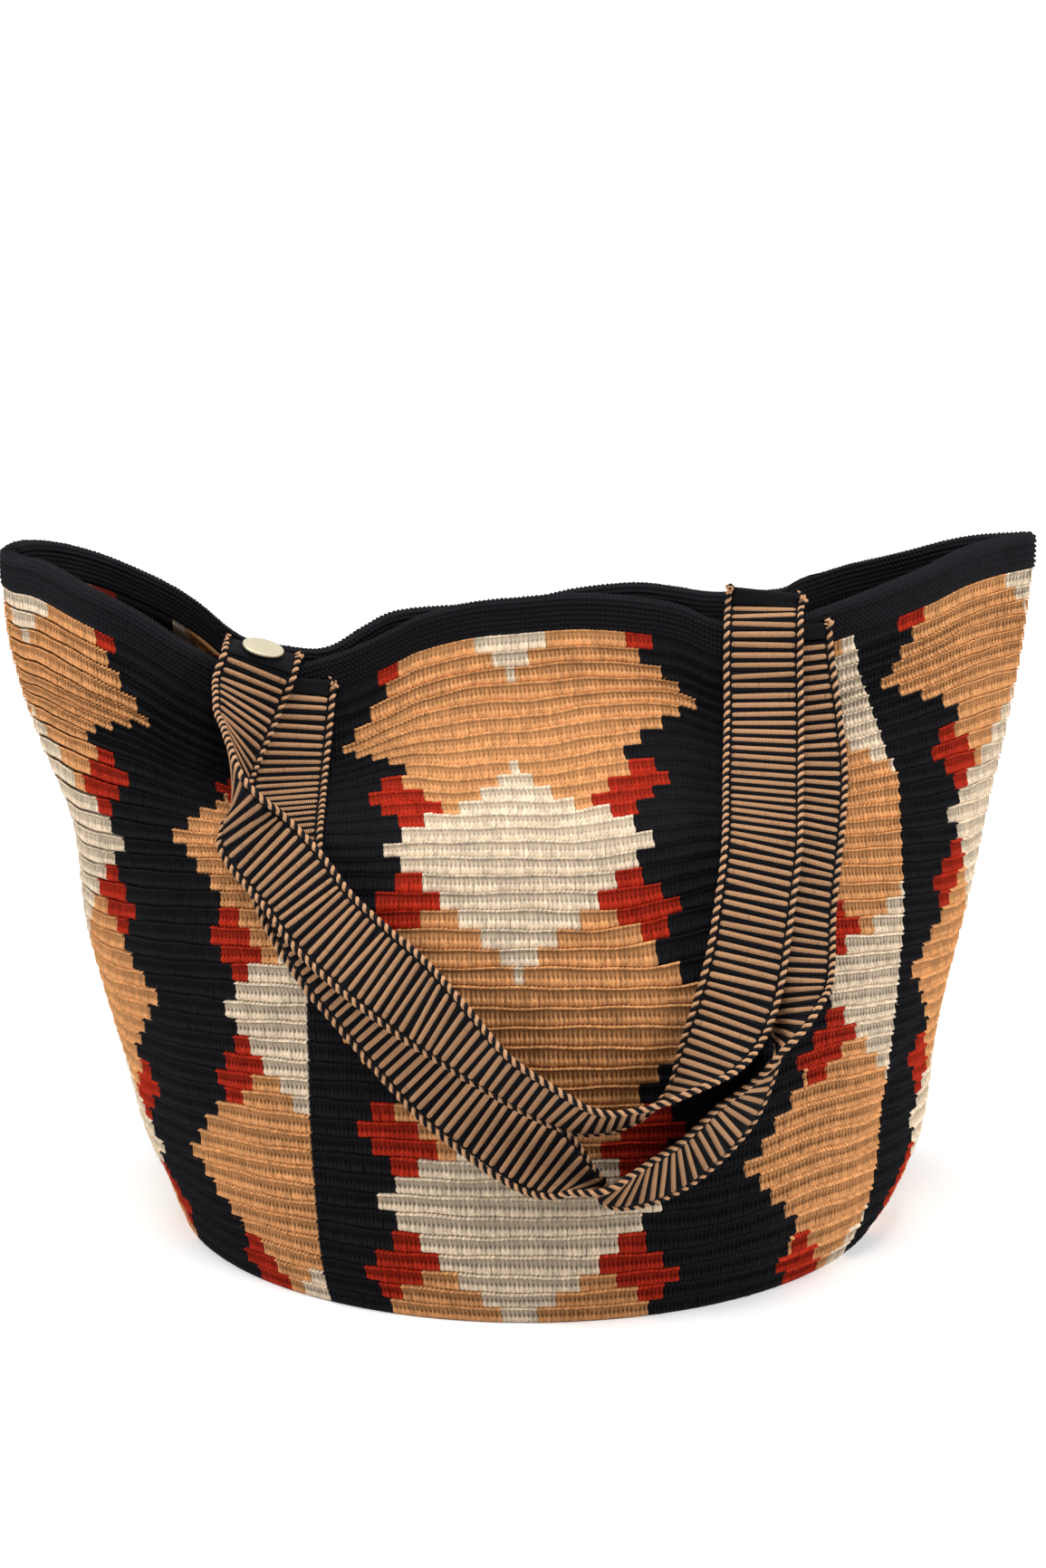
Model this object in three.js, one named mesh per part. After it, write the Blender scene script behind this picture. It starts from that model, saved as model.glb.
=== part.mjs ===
// Crocheted tote bag with stepped diamonds and two ribbed straps.
// Millimetres: +X to the right, +Y away from the viewer, +Z up.
// The origin is the centre of the round base, on the floor.
// The wall is one surface, read by column (132 around, 0 at the front centre) and row (0 at the
// top of the wall, 40 at the base).
import * as THREE from 'three';

const COLUMNS = 132;
const WALL_ROWS = 40;
const WALL = 4.5;
const RIDGE = 0.8;
const BAND_HEIGHT = 15;
const BAND_DEPTH = 4.5;
const CLEARANCE = 0.4;
const CORD_GAP = 0.9;
const BAND_GAP = 0.7;
const BASE_INSET = 0.955;
const FLOOR_HEIGHT = 4.5;
const RING_SAMPLES = 528;
const BAND_ROWS = 2;
const BLEND_ROWS = 17;

const RIBBON_HALF_WIDTH = 13.7;
const RIBBON_HALF_THICKNESS = 1.0;
const CORD_RADIUS = 1.5;
const HEM_LENGTH = 7;
const HEM_HALF_WIDTH = 13.9;
const HEM_HALF_THICKNESS = 1.3;
const STUD_HEM_LENGTH = 12.4;
const STUD_RADIUS = 9;
const STUD_THICKNESS = 1.4;
const STUD_BACK_RADIUS = 3.5;
const STUD_FROM_END = 4.6;

// Overall sizes of the bag, and the sizes that its tables are drawn for.
const BAG_LENGTH = 454;
const BAG_DEPTH = 314;
const BAG_HEIGHT = 307;
const DRAWN_SIZE = [454, 314, 307];
const STRETCH = [BAG_LENGTH, BAG_DEPTH, BAG_HEIGHT].map((v, k) => v / DRAWN_SIZE[k]);

// Sections of the wall: row, half widths at the left and right fold, depth of the front and back,
// fullness of the curve, then the heights of the front, the folds and the back.
const SECTIONS = [
  { row: 0, left: 229, right: 224, front: -36, back: -22, full: 2.2, frontZ: 270, sideZ: 284, backZ: 268 },
  { row: 4.5, left: 226, right: 221, front: -54, back: 0, full: 2.3, frontZ: 241, sideZ: 251, backZ: 239 },
  { row: 9, left: 216, right: 213, front: -82, back: 22, full: 2.4, frontZ: 217, sideZ: 220, backZ: 208 },
  { row: 14.5, left: 202, right: 203, front: -119, back: 54, full: 2.4, frontZ: 194, sideZ: 181, backZ: 176 },
  { row: 21.5, left: 196, right: 193, front: -150, back: 94, full: 2.2, frontZ: 148, sideZ: 131, backZ: 135 },
  { row: 28, left: 184, right: 184, front: -158, back: 126, full: 2.1, frontZ: 96, sideZ: 85, backZ: 90 },
  { row: 33.5, left: 175, right: 180, front: -157, back: 148, full: 2.0, frontZ: 52, sideZ: 44, backZ: 50 },
  { row: 37, left: 165, right: 172, front: -156, back: 157, full: 2.0, frontZ: 22, sideZ: 21, backZ: 22 },
  { row: 40, left: 157, right: 159, front: -152, back: 153, full: 2.0, frontZ: 0, sideZ: 0, backZ: 0 },
];
const SECTION_KEYS = ['left', 'right', 'front', 'back', 'full', 'frontZ', 'sideZ', 'backZ'];

// Top edge of the mouth: front from the centre to the right fold, the back, then the left fold.
// It sinks under the straps, is pinched shut between them and rises to the two folds.
const MOUTH = [
  [-4, -32, 283], [22, -33, 285], [46, -36, 284], [65, -38, 281], [81, -42, 275],
  [100, -45, 272], [120, -46, 278], [147, -42, 287], [174, -31, 296], [190, -21, 302],
  [206, -9, 305], [223, 2, 307], [204, 11, 305], [189, 14, 302], [174, 14, 298],
  [159, 10, 295], [143, 0, 293], [131, -10, 291], [121, -22, 290], [112, -33, 288],
  [100, -34, 287], [80, -31, 286], [62, -27, 288], [46, -25, 289], [21, -22, 286],
  [-1, -21, 281], [-25, -22, 279], [-46, -24, 278], [-60, -26, 276], [-72, -28, 270],
  [-84, -31, 263], [-94, -32, 261], [-110, -32, 263], [-123, -24, 264], [-134, -14, 268],
  [-149, 0, 277], [-165, 8, 285], [-190, 13, 295], [-209, 10, 301], [-224, 5, 303],
  [-231, -2, 301], [-226, -10, 298], [-213, -22, 297], [-190, -42, 289], [-168, -49, 279],
  [-148, -50, 266], [-126, -46, 254], [-110, -44, 253], [-97, -42, 256], [-77, -40, 262],
  [-57, -37, 271], [-46, -35, 276], [-25, -33, 281],
];

// Each strap is given by its two edges: column, row and lift off the wall for the first edge, then
// for the second. Rows under -2 stand above the mouth. The strap turns over where edges cross.
const BACK_STRAP = [
  [11.9, -3.9, -2.9, 16.3, -3.9, -3.7],
  [11.8, -2.9, -2.7, 16.2, -2.9, -3.4],
  [11.8, -1.4, 6.4, 16.2, -1.3, 6.4],
  [11.8, 0.8, 7.4, 16.2, 1.0, 7.4],
  [11.6, 4.1, 8, 16.4, 4.6, 8],
  [11.2, 9.6, 8, 16.0, 9.8, 8],
  [10.6, 14.6, 8, 15.1, 14.5, 8.5],
  [9.9, 18, 8, 14, 18, 9],
  [9.5, 20.8, 8, 12.6, 21.2, 13],
  [9, 22.9, 8, 11.1, 23.6, 20],
  [8.2, 24.6, 8, 9.4, 25.2, 30],
  [7.2, 26.8, 8, 7, 26.2, 38],
  [5.2, 28.6, 9, 4.6, 27, 38],
  [2.6, 28.9, 12, 2.9, 27.1, 36],
  [0.2, 27.9, 13, 1.2, 26.2, 34],
  [-2.5, 26.2, 13, -1, 24.9, 31],
  [-4.8, 24.8, 13, -3, 23, 26],
  [-7.4, 23.4, 12, -4.8, 21.2, 18],
  [-10, 21.8, 11, -6.9, 19.4, 12],
  [-12.4, 20, 10, -8.9, 17.6, 10],
  [-13.6, 18.5, 10, -11, 15.4, 10.6],
  [-14.4, 17.5, 9, -12.6, 14.1, 14.5],
  [-15.5, 16.3, 8, -14, 13.4, 22.5],
  [-16.3, 14.8, 7, -14.7, 13.1, 31.5],
  [-16.6, 12.9, 7.5, -15.6, 12.5, 37],
  [-16.4, 9.5, 8.8, -17.4, 10.1, 37.5],
  [-15.6, 5.8, 9.4, -18.7, 3.3, 30.5],
  [-14.7, 2.5, 8.8, -18.7, 1.3, 23.5],
  [-13.8, 0.4, 8.4, -18.3, -0.6, 12.4],
  [-13.1, -0.8, 9.9, -17.5, -2.5, 7],
  [-12.9, -1.6, 6.4, -17, -3.6, -1.9],
  [-12.8, -2.2, 1.8, -16.6, -4.6, -11.3],
];
const FRONT_STRAP = [
  [-15.1, -1.6, 2.9, -10.8, -0.6, 2.9],
  [-15.2, -0.6, 3.1, -10.9, 0.5, 3.1],
  [-15.6, 2.5, 4.4, -11.1, 4.1, 4],
  [-16, 7.2, 3.8, -11.4, 8.2, 3.8],
  [-15.9, 13.2, 3.8, -11.5, 13.5, 3.8],
  [-15.1, 16.4, 3.8, -11.4, 15.9, 3.8],
  [-13.8, 19, 3.8, -10.1, 17.9, 3.8],
  [-11.9, 21.6, 3.8, -8.4, 20, 3.8],
  [-10, 23.8, 3.8, -6.5, 21.9, 3.8],
  [-7.8, 26.2, 4, -4.5, 24, 3.8],
  [-5.5, 28.2, 6, -2.6, 26, 3.8],
  [-2.6, 30.2, 11, -0.1, 27.8, 4],
  [0.1, 31.2, 19, 1.4, 29.4, 4],
  [2, 31.3, 28, 2.6, 31, 7],
  [2.9, 30.8, 36, 3.4, 32, 9],
  [4, 30.1, 35, 4.5, 32.9, 10],
  [5.5, 29.6, 28, 6.5, 32.8, 9],
  [7.1, 29, 23, 8.8, 31.8, 7],
  [9.2, 27.1, 22, 11.1, 30, 5],
  [10.5, 25.8, 27, 12.5, 27.5, 4.2],
  [11.5, 24.4, 33, 12.9, 25.4, 4],
  [13, 23.2, 32, 12.6, 23.5, 4],
  [14.5, 21.9, 22, 12.2, 21.4, 4],
  [16.2, 18.9, 8, 12.5, 18.4, 4],
  [17.4, 15.4, 4.2, 13.1, 15.1, 3.8],
  [18.6, 9.6, 3.8, 14.1, 8.8, 3.8],
  [18.5, 5.6, 3.8, 14.1, 4.1, 3.8],
  [18.1, 1.2, 3.4, 13.6, 0.6, 3.4],
  [17.9, -0.3, 3, 13.5, -0.9, 3],
  [17.8, -1.2, 2.9, 13.4, -1.8, 2.9],
];

const FABRIC = { black: 0x17181c, tan: 0xc8955f, ribbon: 0xb08a63, metal: 0xddcfae };

const add = (a, b, k = 1) => [a[0] + b[0] * k, a[1] + b[1] * k, a[2] + b[2] * k];
const sub = (a, b) => add(a, b, -1);
const dot = (a, b) => a[0] * b[0] + a[1] * b[1] + a[2] * b[2];
const size = (a) => Math.hypot(a[0], a[1], a[2]);
const unit = (a) => {
  const n = size(a) || 1;
  return [a[0] / n, a[1] / n, a[2] / n];
};
const cross = (a, b) => [
  a[1] * b[2] - a[2] * b[1],
  a[2] * b[0] - a[0] * b[2],
  a[0] * b[1] - a[1] * b[0],
];
const mix = (a, b, f) => add([a[0] * (1 - f), a[1] * (1 - f), a[2] * (1 - f)], b, f);
const clamp = (x, low, high) => Math.min(high, Math.max(low, x));
const smoothstep = (x) => {
  const t = clamp(x, 0, 1);
  return t * t * (3 - 2 * t);
};

function curveThrough(p0, p1, p2, p3, f) {
  return p1.map((_, k) => 0.5 * (
    2 * p1[k] + (p2[k] - p0[k]) * f
    + (2 * p0[k] - 5 * p1[k] + 4 * p2[k] - p3[k]) * f * f
    + (3 * p1[k] - p0[k] - 3 * p2[k] + p3[k]) * f * f * f));
}

function closedCurve(points, steps) {
  const n = points.length;
  const out = [];
  for (let i = 0; i < n; i += 1) {
    for (let k = 0; k < steps; k += 1) {
      out.push(curveThrough(
        points[(i + n - 1) % n], points[i], points[(i + 1) % n], points[(i + 2) % n], k / steps));
    }
  }
  return out;
}

// Even steps of length around a closed line, from its first point, at the bag's overall sizes.
function evenRing(drawn, count) {
  const line = drawn.map((p) => p.map((v, k) => v * STRETCH[k]));
  const travelled = [0];
  for (let i = 0; i < line.length; i += 1) {
    travelled.push(travelled[i] + size(sub(line[(i + 1) % line.length], line[i])));
  }
  const total = travelled[line.length];
  const ring = [];
  let at = 0;
  for (let i = 0; i < count; i += 1) {
    const want = (total * i) / count;
    while (travelled[at + 1] < want) at += 1;
    const f = (want - travelled[at]) / (travelled[at + 1] - travelled[at]);
    ring.push(mix(line[at], line[(at + 1) % line.length], f));
  }
  return ring;
}

function sectionRing(s) {
  const power = 2 / s.full;
  const line = [];
  for (let i = 0; i < 1440; i += 1) {
    const a = (i / 1440) * 2 * Math.PI;
    const across = Math.sin(a);
    const ahead = Math.cos(a);
    const reach = Math.abs(ahead) ** power;
    const end = ahead > 0 ? s.frontZ : s.backZ;
    line.push([
      (across > 0 ? s.right : -s.left) * Math.abs(across) ** power,
      (ahead > 0 ? s.front : s.back) * reach,
      s.sideZ + (end - s.sideZ) * ahead * ahead,
    ]);
  }
  return evenRing(line, RING_SAMPLES);
}

function sectionAt(row) {
  const last = SECTIONS.length - 1;
  let i = 0;
  while (i < last - 1 && SECTIONS[i + 1].row <= row) i += 1;
  const a = SECTIONS[i];
  const b = SECTIONS[i + 1];
  const step = b.row - a.row;
  const f = (row - a.row) / step;
  const before = SECTIONS[Math.max(i - 1, 0)];
  const after = SECTIONS[Math.min(i + 2, last)];
  const out = {};
  for (const key of SECTION_KEYS) {
    const slopeA = ((b[key] - before[key]) / (b.row - before.row)) * step;
    const slopeB = ((after[key] - a[key]) / (after.row - a.row)) * step;
    out[key] = (2 * f ** 3 - 3 * f * f + 1) * a[key] + (f ** 3 - 2 * f * f + f) * slopeA
      + (-2 * f ** 3 + 3 * f * f) * b[key] + (f ** 3 - f * f) * slopeB;
  }
  return out;
}

const mouthTop = evenRing(closedCurve(MOUTH, 20), RING_SAMPLES);
const mouthLow = mouthTop.map((p) => [p[0], p[1], p[2] - BAND_HEIGHT]);
const plainTop = sectionRing(sectionAt(0));
const rings = new Map();

function ringAt(row) {
  if (!rings.has(row)) {
    const weight = 1 - smoothstep(row / BLEND_ROWS);
    rings.set(row, row < 0
      ? mouthLow.map((p, i) => mix(p, mouthTop[i], -row / BAND_ROWS))
      : sectionRing(sectionAt(row)).map((p, i) => add(p, sub(mouthLow[i], plainTop[i]), weight)));
  }
  return rings.get(row);
}

function onRing(ring, column) {
  const at = (((column / COLUMNS) * RING_SAMPLES) % RING_SAMPLES + RING_SAMPLES) % RING_SAMPLES;
  const i = Math.floor(at);
  return mix(ring[i], ring[(i + 1) % RING_SAMPLES], at - i);
}

// Wall surface without its ridges. Rows between the stored half rows are blended.
function wall(column, row) {
  if (row < 0) return onRing(ringAt(-2), column).map((v, k) => (
    v * (-row / 2) + onRing(ringAt(0), column)[k] * (1 + row / 2)));
  const low = Math.min(Math.floor(row * 2) / 2, WALL_ROWS - 0.5);
  return mix(onRing(ringAt(low), column), onRing(ringAt(low + 0.5), column), (row - low) * 2);
}

function outward(column, row) {
  const r = clamp(row, 0.5, WALL_ROWS - 1);
  const along = sub(wall(column + 0.8, r), wall(column - 0.8, r));
  const down = sub(wall(column, r + 0.5), wall(column, r - 0.5));
  return unit(cross(down, along));
}

const lifted = (column, row, lift) => add(wall(column, row), outward(column, row), lift);

// The columns that carry mesh points: closer together round the two folds.
const quarter = [0, 4.5, 9, 13.5, 17.5, 21.5, 25, 27.5, 29.3, 30.6, 31.6, 32.4, 33.2, 34.2, 35.8, 38.5,
  42.5, 47, 51.5, 56.5, 61.5];
const AROUND = [...quarter, ...quarter.slice(1).reverse().map((c) => COLUMNS - c)];
AROUND.splice(quarter.length, 0, 66);

// Inner side of a ring: it moves towards the opposite wall, and in from both folds.
function innerRing(row, depth) {
  const ring = ringAt(row);
  const half = RING_SAMPLES / 2;
  const rightTip = ring.reduce((best, p, i) => (p[0] > ring[best][0] ? i : best), 0);
  const leftTip = ring.reduce((best, p, i) => (p[0] < ring[best][0] ? i : best), 0);
  const isFront = (i) => i <= rightTip || i >= leftTip;
  const reach = Math.max(...ring.map((p) => Math.abs(p[0])));
  const squeeze = 1 - (depth + 1.5) / reach;
  const across = (i) => {
    const p = ring[i];
    let best = p[1];
    let near = Infinity;
    for (let k = 0; k < RING_SAMPLES; k += 1) {
      const gap = Math.abs(ring[k][0] - p[0]);
      if (isFront(k) !== isFront(i) && gap < near) {
        near = gap;
        best = ring[k][1];
      }
    }
    return best - p[1];
  };
  return AROUND.map((column) => {
    const i = Math.round((column / COLUMNS) * RING_SAMPLES) % RING_SAMPLES;
    const gap = across(i);
    const step = Math.sign(gap) * Math.min(depth, Math.abs(gap) * 0.4);
    const p = onRing(ring, column);
    return [p[0] * squeeze, p[1] + step, p[2]];
  });
}

// Closed mesh from rings of equal length. An end is capped by a fan, or the last ring joins the
// first when the rings run in a loop.
function stitch(ringList, looped) {
  const n = ringList[0].length;
  const points = ringList.flat();
  const faces = [];
  const count = looped ? ringList.length : ringList.length - 1;
  for (let r = 0; r < count; r += 1) {
    const next = (r + 1) % ringList.length;
    for (let i = 0; i < n; i += 1) {
      const j = (i + 1) % n;
      faces.push([r * n + i, next * n + i, next * n + j], [r * n + i, next * n + j, r * n + j]);
    }
  }
  if (!looped) {
    for (const [r, flip] of [[0, false], [ringList.length - 1, true]]) {
      const ring = ringList[r];
      const middle = ring.reduce((sum, p) => add(sum, p, 1 / n), [0, 0, 0]);
      points.push(middle);
      const hub = points.length - 1;
      for (let i = 0; i < n; i += 1) {
        const j = (i + 1) % n;
        faces.push(flip ? [hub, r * n + j, r * n + i] : [hub, r * n + i, r * n + j]);
      }
    }
  }
  return { points, faces };
}

function solidMesh(name, { points, faces }, colour, roughness, metalness = 0) {
  let volume = 0;
  for (const [a, b, c] of faces) volume += dot(points[a], cross(points[b], points[c]));
  const wound = volume < 0 ? faces.map(([a, b, c]) => [a, c, b]) : faces;
  const geometry = new THREE.BufferGeometry();
  geometry.setAttribute('position', new THREE.Float32BufferAttribute(points.flat(), 3));
  geometry.setIndex(wound.flat());
  geometry.computeVertexNormals();
  const material = new THREE.MeshStandardMaterial({ color: colour, roughness, metalness });
  const mesh = new THREE.Mesh(geometry, material);
  mesh.name = name;
  return mesh;
}

// Crocheted wall with a raised ridge at the top of each row, smooth inside, and the round base.
function bodyRings() {
  const outer = [];
  for (let row = 0; row < WALL_ROWS; row += 1) {
    const edge = row === 0 || row === WALL_ROWS - 1;
    for (const [part, lift] of [[edge ? 0.5 : 0.18, RIDGE], [0.9, -0.5]]) {
      outer.push(AROUND.map((c) => lifted(c, row + part, edge ? lift * 0.3 : lift)));
    }
  }
  const top = AROUND.map((c) => onRing(ringAt(0), c));
  const foot = AROUND.map((c) => {
    const p = onRing(ringAt(WALL_ROWS), c);
    return [p[0] * BASE_INSET, p[1] * BASE_INSET, 0];
  });
  const inner = [];
  for (const row of [38.5, 36, 33, 29, 25, 21.5, 18, 14.5, 11.5, 9, 6, 4, 2, 0]) {
    inner.push(innerRing(row, WALL));
  }
  const floor = foot.map((p) => [p[0] * 0.99, p[1] * 0.99, FLOOR_HEIGHT]);
  const floorMiddle = foot.map((p) => [p[0] * 0.5, p[1] * 0.5, FLOOR_HEIGHT]);
  const footMiddle = foot.map((p) => [p[0] * 0.5, p[1] * 0.5, 0]);
  return [footMiddle, foot, ...outer.reverse(), top, ...inner.reverse(), floor, floorMiddle];
}

// Rim band: a few knitted rounds outside, a rolled top and a flat inner side.
function bandRings() {
  const outside = [[0, BAND_GAP], [0.8, 3], [0.2, 5.5], [0.8, 8], [0.3, 10.5], [0.9, 12.8], [0, 14.6]];
  const inside = [[0.8, 15], [BAND_DEPTH, 13.4], [BAND_DEPTH, 7], [BAND_DEPTH, BAND_GAP]];
  const out = outside.map(([push, high]) => AROUND.map((c) => {
    const p = onRing(ringAt(0), c);
    const n = outward(c, 0.5);
    const flat = unit([n[0], n[1], 0]);
    return [p[0] + flat[0] * push, p[1] + flat[1] * push, p[2] + high];
  }));
  const back = inside.map(([depth, high]) => innerRing(0, depth).map((p) => [p[0], p[1], p[2] + high]));
  return [...out, ...back];
}

// Frames along a strap: centre, travel, width and face directions at even steps.
function strapFrames(stations, steps) {
  const edges = stations.map((s) => [
    lifted(s[0], s[1], s[2]),
    lifted(s[3], s[4], s[5]),
  ]);
  const middle = edges.map(([a, b]) => mix(a, b, 0.5));
  const width = edges.map(([a, b]) => unit(sub(b, a)));
  const n = stations.length;
  const at = (list, i) => list[clamp(i, 0, n - 1)];
  const line = [];
  const wide = [];
  for (let i = 0; i < n - 1; i += 1) {
    for (let k = 0; k < 12; k += 1) {
      line.push(curveThrough(at(middle, i - 1), at(middle, i), at(middle, i + 1), at(middle, i + 2), k / 12));
      wide.push(curveThrough(at(width, i - 1), at(width, i), at(width, i + 1), at(width, i + 2), k / 12));
    }
  }
  line.push(middle[n - 1]);
  wide.push(width[n - 1]);
  const travelled = [0];
  for (let i = 1; i < line.length; i += 1) travelled.push(travelled[i - 1] + size(sub(line[i], line[i - 1])));
  const total = travelled[line.length - 1];
  const lookup = (distance) => {
    let i = 0;
    while (i < line.length - 2 && travelled[i + 1] < distance) i += 1;
    const f = (distance - travelled[i]) / (travelled[i + 1] - travelled[i]);
    return { p: mix(line[i], line[i + 1], f), w: mix(wide[i], wide[i + 1], f) };
  };
  const frame = (distance) => {
    const here = lookup(distance);
    const along = unit(sub(lookup(distance + 2).p, lookup(distance - 2).p));
    const w = unit(sub(here.w, along.map((v) => v * dot(here.w, along))));
    return { p: here.p, along, w, up: unit(cross(along, w)) };
  };
  return { total, frame, steps };
}

const inFrame = (f, across, up) => add(add(f.p, f.w, across), f.up, up);

function ribbonRings(strap, from, to) {
  const out = [];
  for (let i = 0; i <= strap.steps; i += 1) {
    const f = strap.frame(from + ((to - from) * i) / strap.steps);
    const w = RIBBON_HALF_WIDTH;
    const t = RIBBON_HALF_THICKNESS;
    out.push([inFrame(f, -w, -t), inFrame(f, -w, t), inFrame(f, 0, t * 1.1), inFrame(f, w, t),
      inFrame(f, w, -t), inFrame(f, 0, -t * 1.1)]);
  }
  return out;
}

function cordRings(strap, side, from, to) {
  const out = [];
  const reach = side * (RIBBON_HALF_WIDTH + CORD_GAP + CORD_RADIUS);
  for (let i = 0; i <= strap.steps; i += 1) {
    const f = strap.frame(from + ((to - from) * i) / strap.steps);
    const end = i === 0 || i === strap.steps;
    const radius = end ? CORD_RADIUS * 0.6 : CORD_RADIUS;
    out.push([0, 1, 2, 3, 4, 5].map((k) => {
      const a = (k * Math.PI) / 3;
      return inFrame(f, reach + radius * Math.cos(a), radius * Math.sin(a));
    }));
  }
  return out;
}

function hemRings(strap, from, to) {
  return [from, from + (to - from) * 0.15, to - (to - from) * 0.1, to].map((distance, i) => {
    const f = strap.frame(distance);
    const w = HEM_HALF_WIDTH;
    const t = HEM_HALF_THICKNESS * (i === 0 || i === 3 ? 0.7 : 1);
    return [inFrame(f, -w, -t), inFrame(f, -w, t), inFrame(f, w, t), inFrame(f, w, -t)];
  });
}

function disc(frame, radius, low, high) {
  const rim = Math.min(0.35, (high - low) / 3);
  return [[radius - rim, low], [radius, low + rim], [radius, high - rim], [radius - rim, high]].map(
    ([r, up]) => Array.from({ length: 40 }, (_, k) => {
      const a = (k * Math.PI) / 20;
      const p = add(frame.p, frame.along, r * Math.sin(a));
      return add(add(p, frame.w, r * Math.cos(a)), frame.up, up);
    }));
}

const root = new THREE.Group();
root.name = 'crocheted_tote_bag';
root.add(solidMesh('crochet_body', stitch(bodyRings(), false), FABRIC.tan, 0.95));
root.add(solidMesh('rim_band', stitch(bandRings(), true), FABRIC.black, 0.95));

for (const [name, stations] of [['front_strap', FRONT_STRAP], ['back_strap', BACK_STRAP]]) {
  const strap = strapFrames(stations, 84);
  const lastHem = name === 'back_strap' ? STUD_HEM_LENGTH : HEM_LENGTH;
  const begin = HEM_LENGTH + CLEARANCE;
  const end = strap.total - lastHem - CLEARANCE;
  const tape = (part, list, colour) => root.add(solidMesh(name + part, stitch(list, false), colour, 0.9));
  tape('', ribbonRings(strap, begin, end), FABRIC.ribbon);
  tape('_edge_left', cordRings(strap, -1, 0, strap.total), FABRIC.ribbon);
  tape('_edge_right', cordRings(strap, 1, 0, strap.total), FABRIC.ribbon);
  tape('_end_left', hemRings(strap, 0, HEM_LENGTH), FABRIC.black);
  tape('_end_right', hemRings(strap, strap.total - lastHem, strap.total), FABRIC.black);
  if (name === 'back_strap') {
    const f = strap.frame(strap.total - STUD_FROM_END);
    const side = f.up[2] < 0 ? -1 : 1;
    const facing = { ...f, up: f.up.map((v) => v * side) };
    const face = HEM_HALF_THICKNESS + CLEARANCE;
    root.add(solidMesh('stud_cap', stitch(disc(facing, STUD_RADIUS, face, face + STUD_THICKNESS), false),
      FABRIC.metal, 0.35, 1));
    root.add(solidMesh('stud_back', stitch(disc(facing, STUD_BACK_RADIUS, -face - 1, -face), false),
      FABRIC.metal, 0.35, 1));
  }
}

export default root;
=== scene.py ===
"""Looks for a crocheted tote bag with stepped diamonds and two ribbed straps.

The bag's wall is one surface, read by column (132 around, 0 at the front centre) and row (0 at the
top of the wall, 40 at the base). Stitches, pattern and straps all take their places from it.
Lengths in the tables are millimetres and lengths in the meshes are metres.
"""

from __future__ import annotations

import logging
import math
from dataclasses import dataclass
from enum import Enum
from typing import Mapping, Sequence

import bmesh
import bpy
import numpy as np
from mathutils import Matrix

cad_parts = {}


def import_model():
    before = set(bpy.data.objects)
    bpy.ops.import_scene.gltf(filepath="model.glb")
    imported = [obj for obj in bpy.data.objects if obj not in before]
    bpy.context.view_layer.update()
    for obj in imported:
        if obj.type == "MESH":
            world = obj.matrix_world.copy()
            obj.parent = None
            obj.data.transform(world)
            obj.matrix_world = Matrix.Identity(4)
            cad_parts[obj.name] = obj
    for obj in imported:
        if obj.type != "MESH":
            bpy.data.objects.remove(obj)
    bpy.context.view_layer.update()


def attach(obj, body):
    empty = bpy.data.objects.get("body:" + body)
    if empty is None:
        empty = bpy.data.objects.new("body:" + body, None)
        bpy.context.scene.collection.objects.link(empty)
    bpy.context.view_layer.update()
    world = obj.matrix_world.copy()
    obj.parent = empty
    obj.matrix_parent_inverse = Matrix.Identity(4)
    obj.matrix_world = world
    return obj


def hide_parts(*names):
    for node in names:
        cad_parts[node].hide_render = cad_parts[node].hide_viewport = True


LOG = logging.getLogger("tote_bag")

MM = 0.001
COLUMNS = 132.0
STITCHES_PER_COLUMN = 4
WALL_ROWS = 40
FIRST_PATTERN_ROW = 5
PATTERN_REPEAT = 33.0
PATTERN_PERIOD = 19.0
HALF_COLUMN_EDGE = 22.0
HALF_COLUMN_SHIFT = 9.0
RIB_PITCH = 4.4
UV_NAME = "stitch"
WELD_DISTANCE = 1e-7
RELIEF_SPREAD = 0.07
PHOTO_LONG_SIDE = 1732
SENSOR_WIDTH = 36.0
WHITE = (1.0, 1.0, 1.0, 1.0)


# Colours and finishes


def linear(red: float, green: float, blue: float) -> tuple[float, float, float, float]:
    """Turn an 8-bit display colour into the linear colour that shaders take.

    Args:
        red: Red, 0 to 255.
        green: Green, 0 to 255.
        blue: Blue, 0 to 255.

    Returns:
        The linear colour with full alpha.
    """

    def channel(value: float) -> float:
        """Turn one display channel into a linear one."""
        part = value / 255.0
        if part <= 0.04045:
            return part / 12.92
        return ((part + 0.055) / 1.055) ** 2.4

    return (channel(red), channel(green), channel(blue), 1.0)


class Yarn(Enum):
    """Yarn colours of the bag."""

    BLACK = linear(15, 15, 19)
    TAN = linear(222, 158, 102)
    CREAM = linear(236, 214, 186)
    RED = linear(176, 42, 20)
    STRAP_TAN = linear(182, 138, 102)
    STRAP_BLACK = linear(12, 12, 15)


@dataclass(frozen=True)
class YarnFinish:
    """How a yarn or thread surface answers light."""

    roughness: float = 0.8
    specular: float = 0.1
    bump_depth: float = 0.0006


@dataclass(frozen=True)
class MetalFinish:
    """How the stud's plate answers light."""

    colour: tuple[float, float, float, float] = linear(178, 168, 143)
    roughness: float = 0.45
    brushing: float = 0.16
    metallic: float = 0.35


# Node trees


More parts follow.
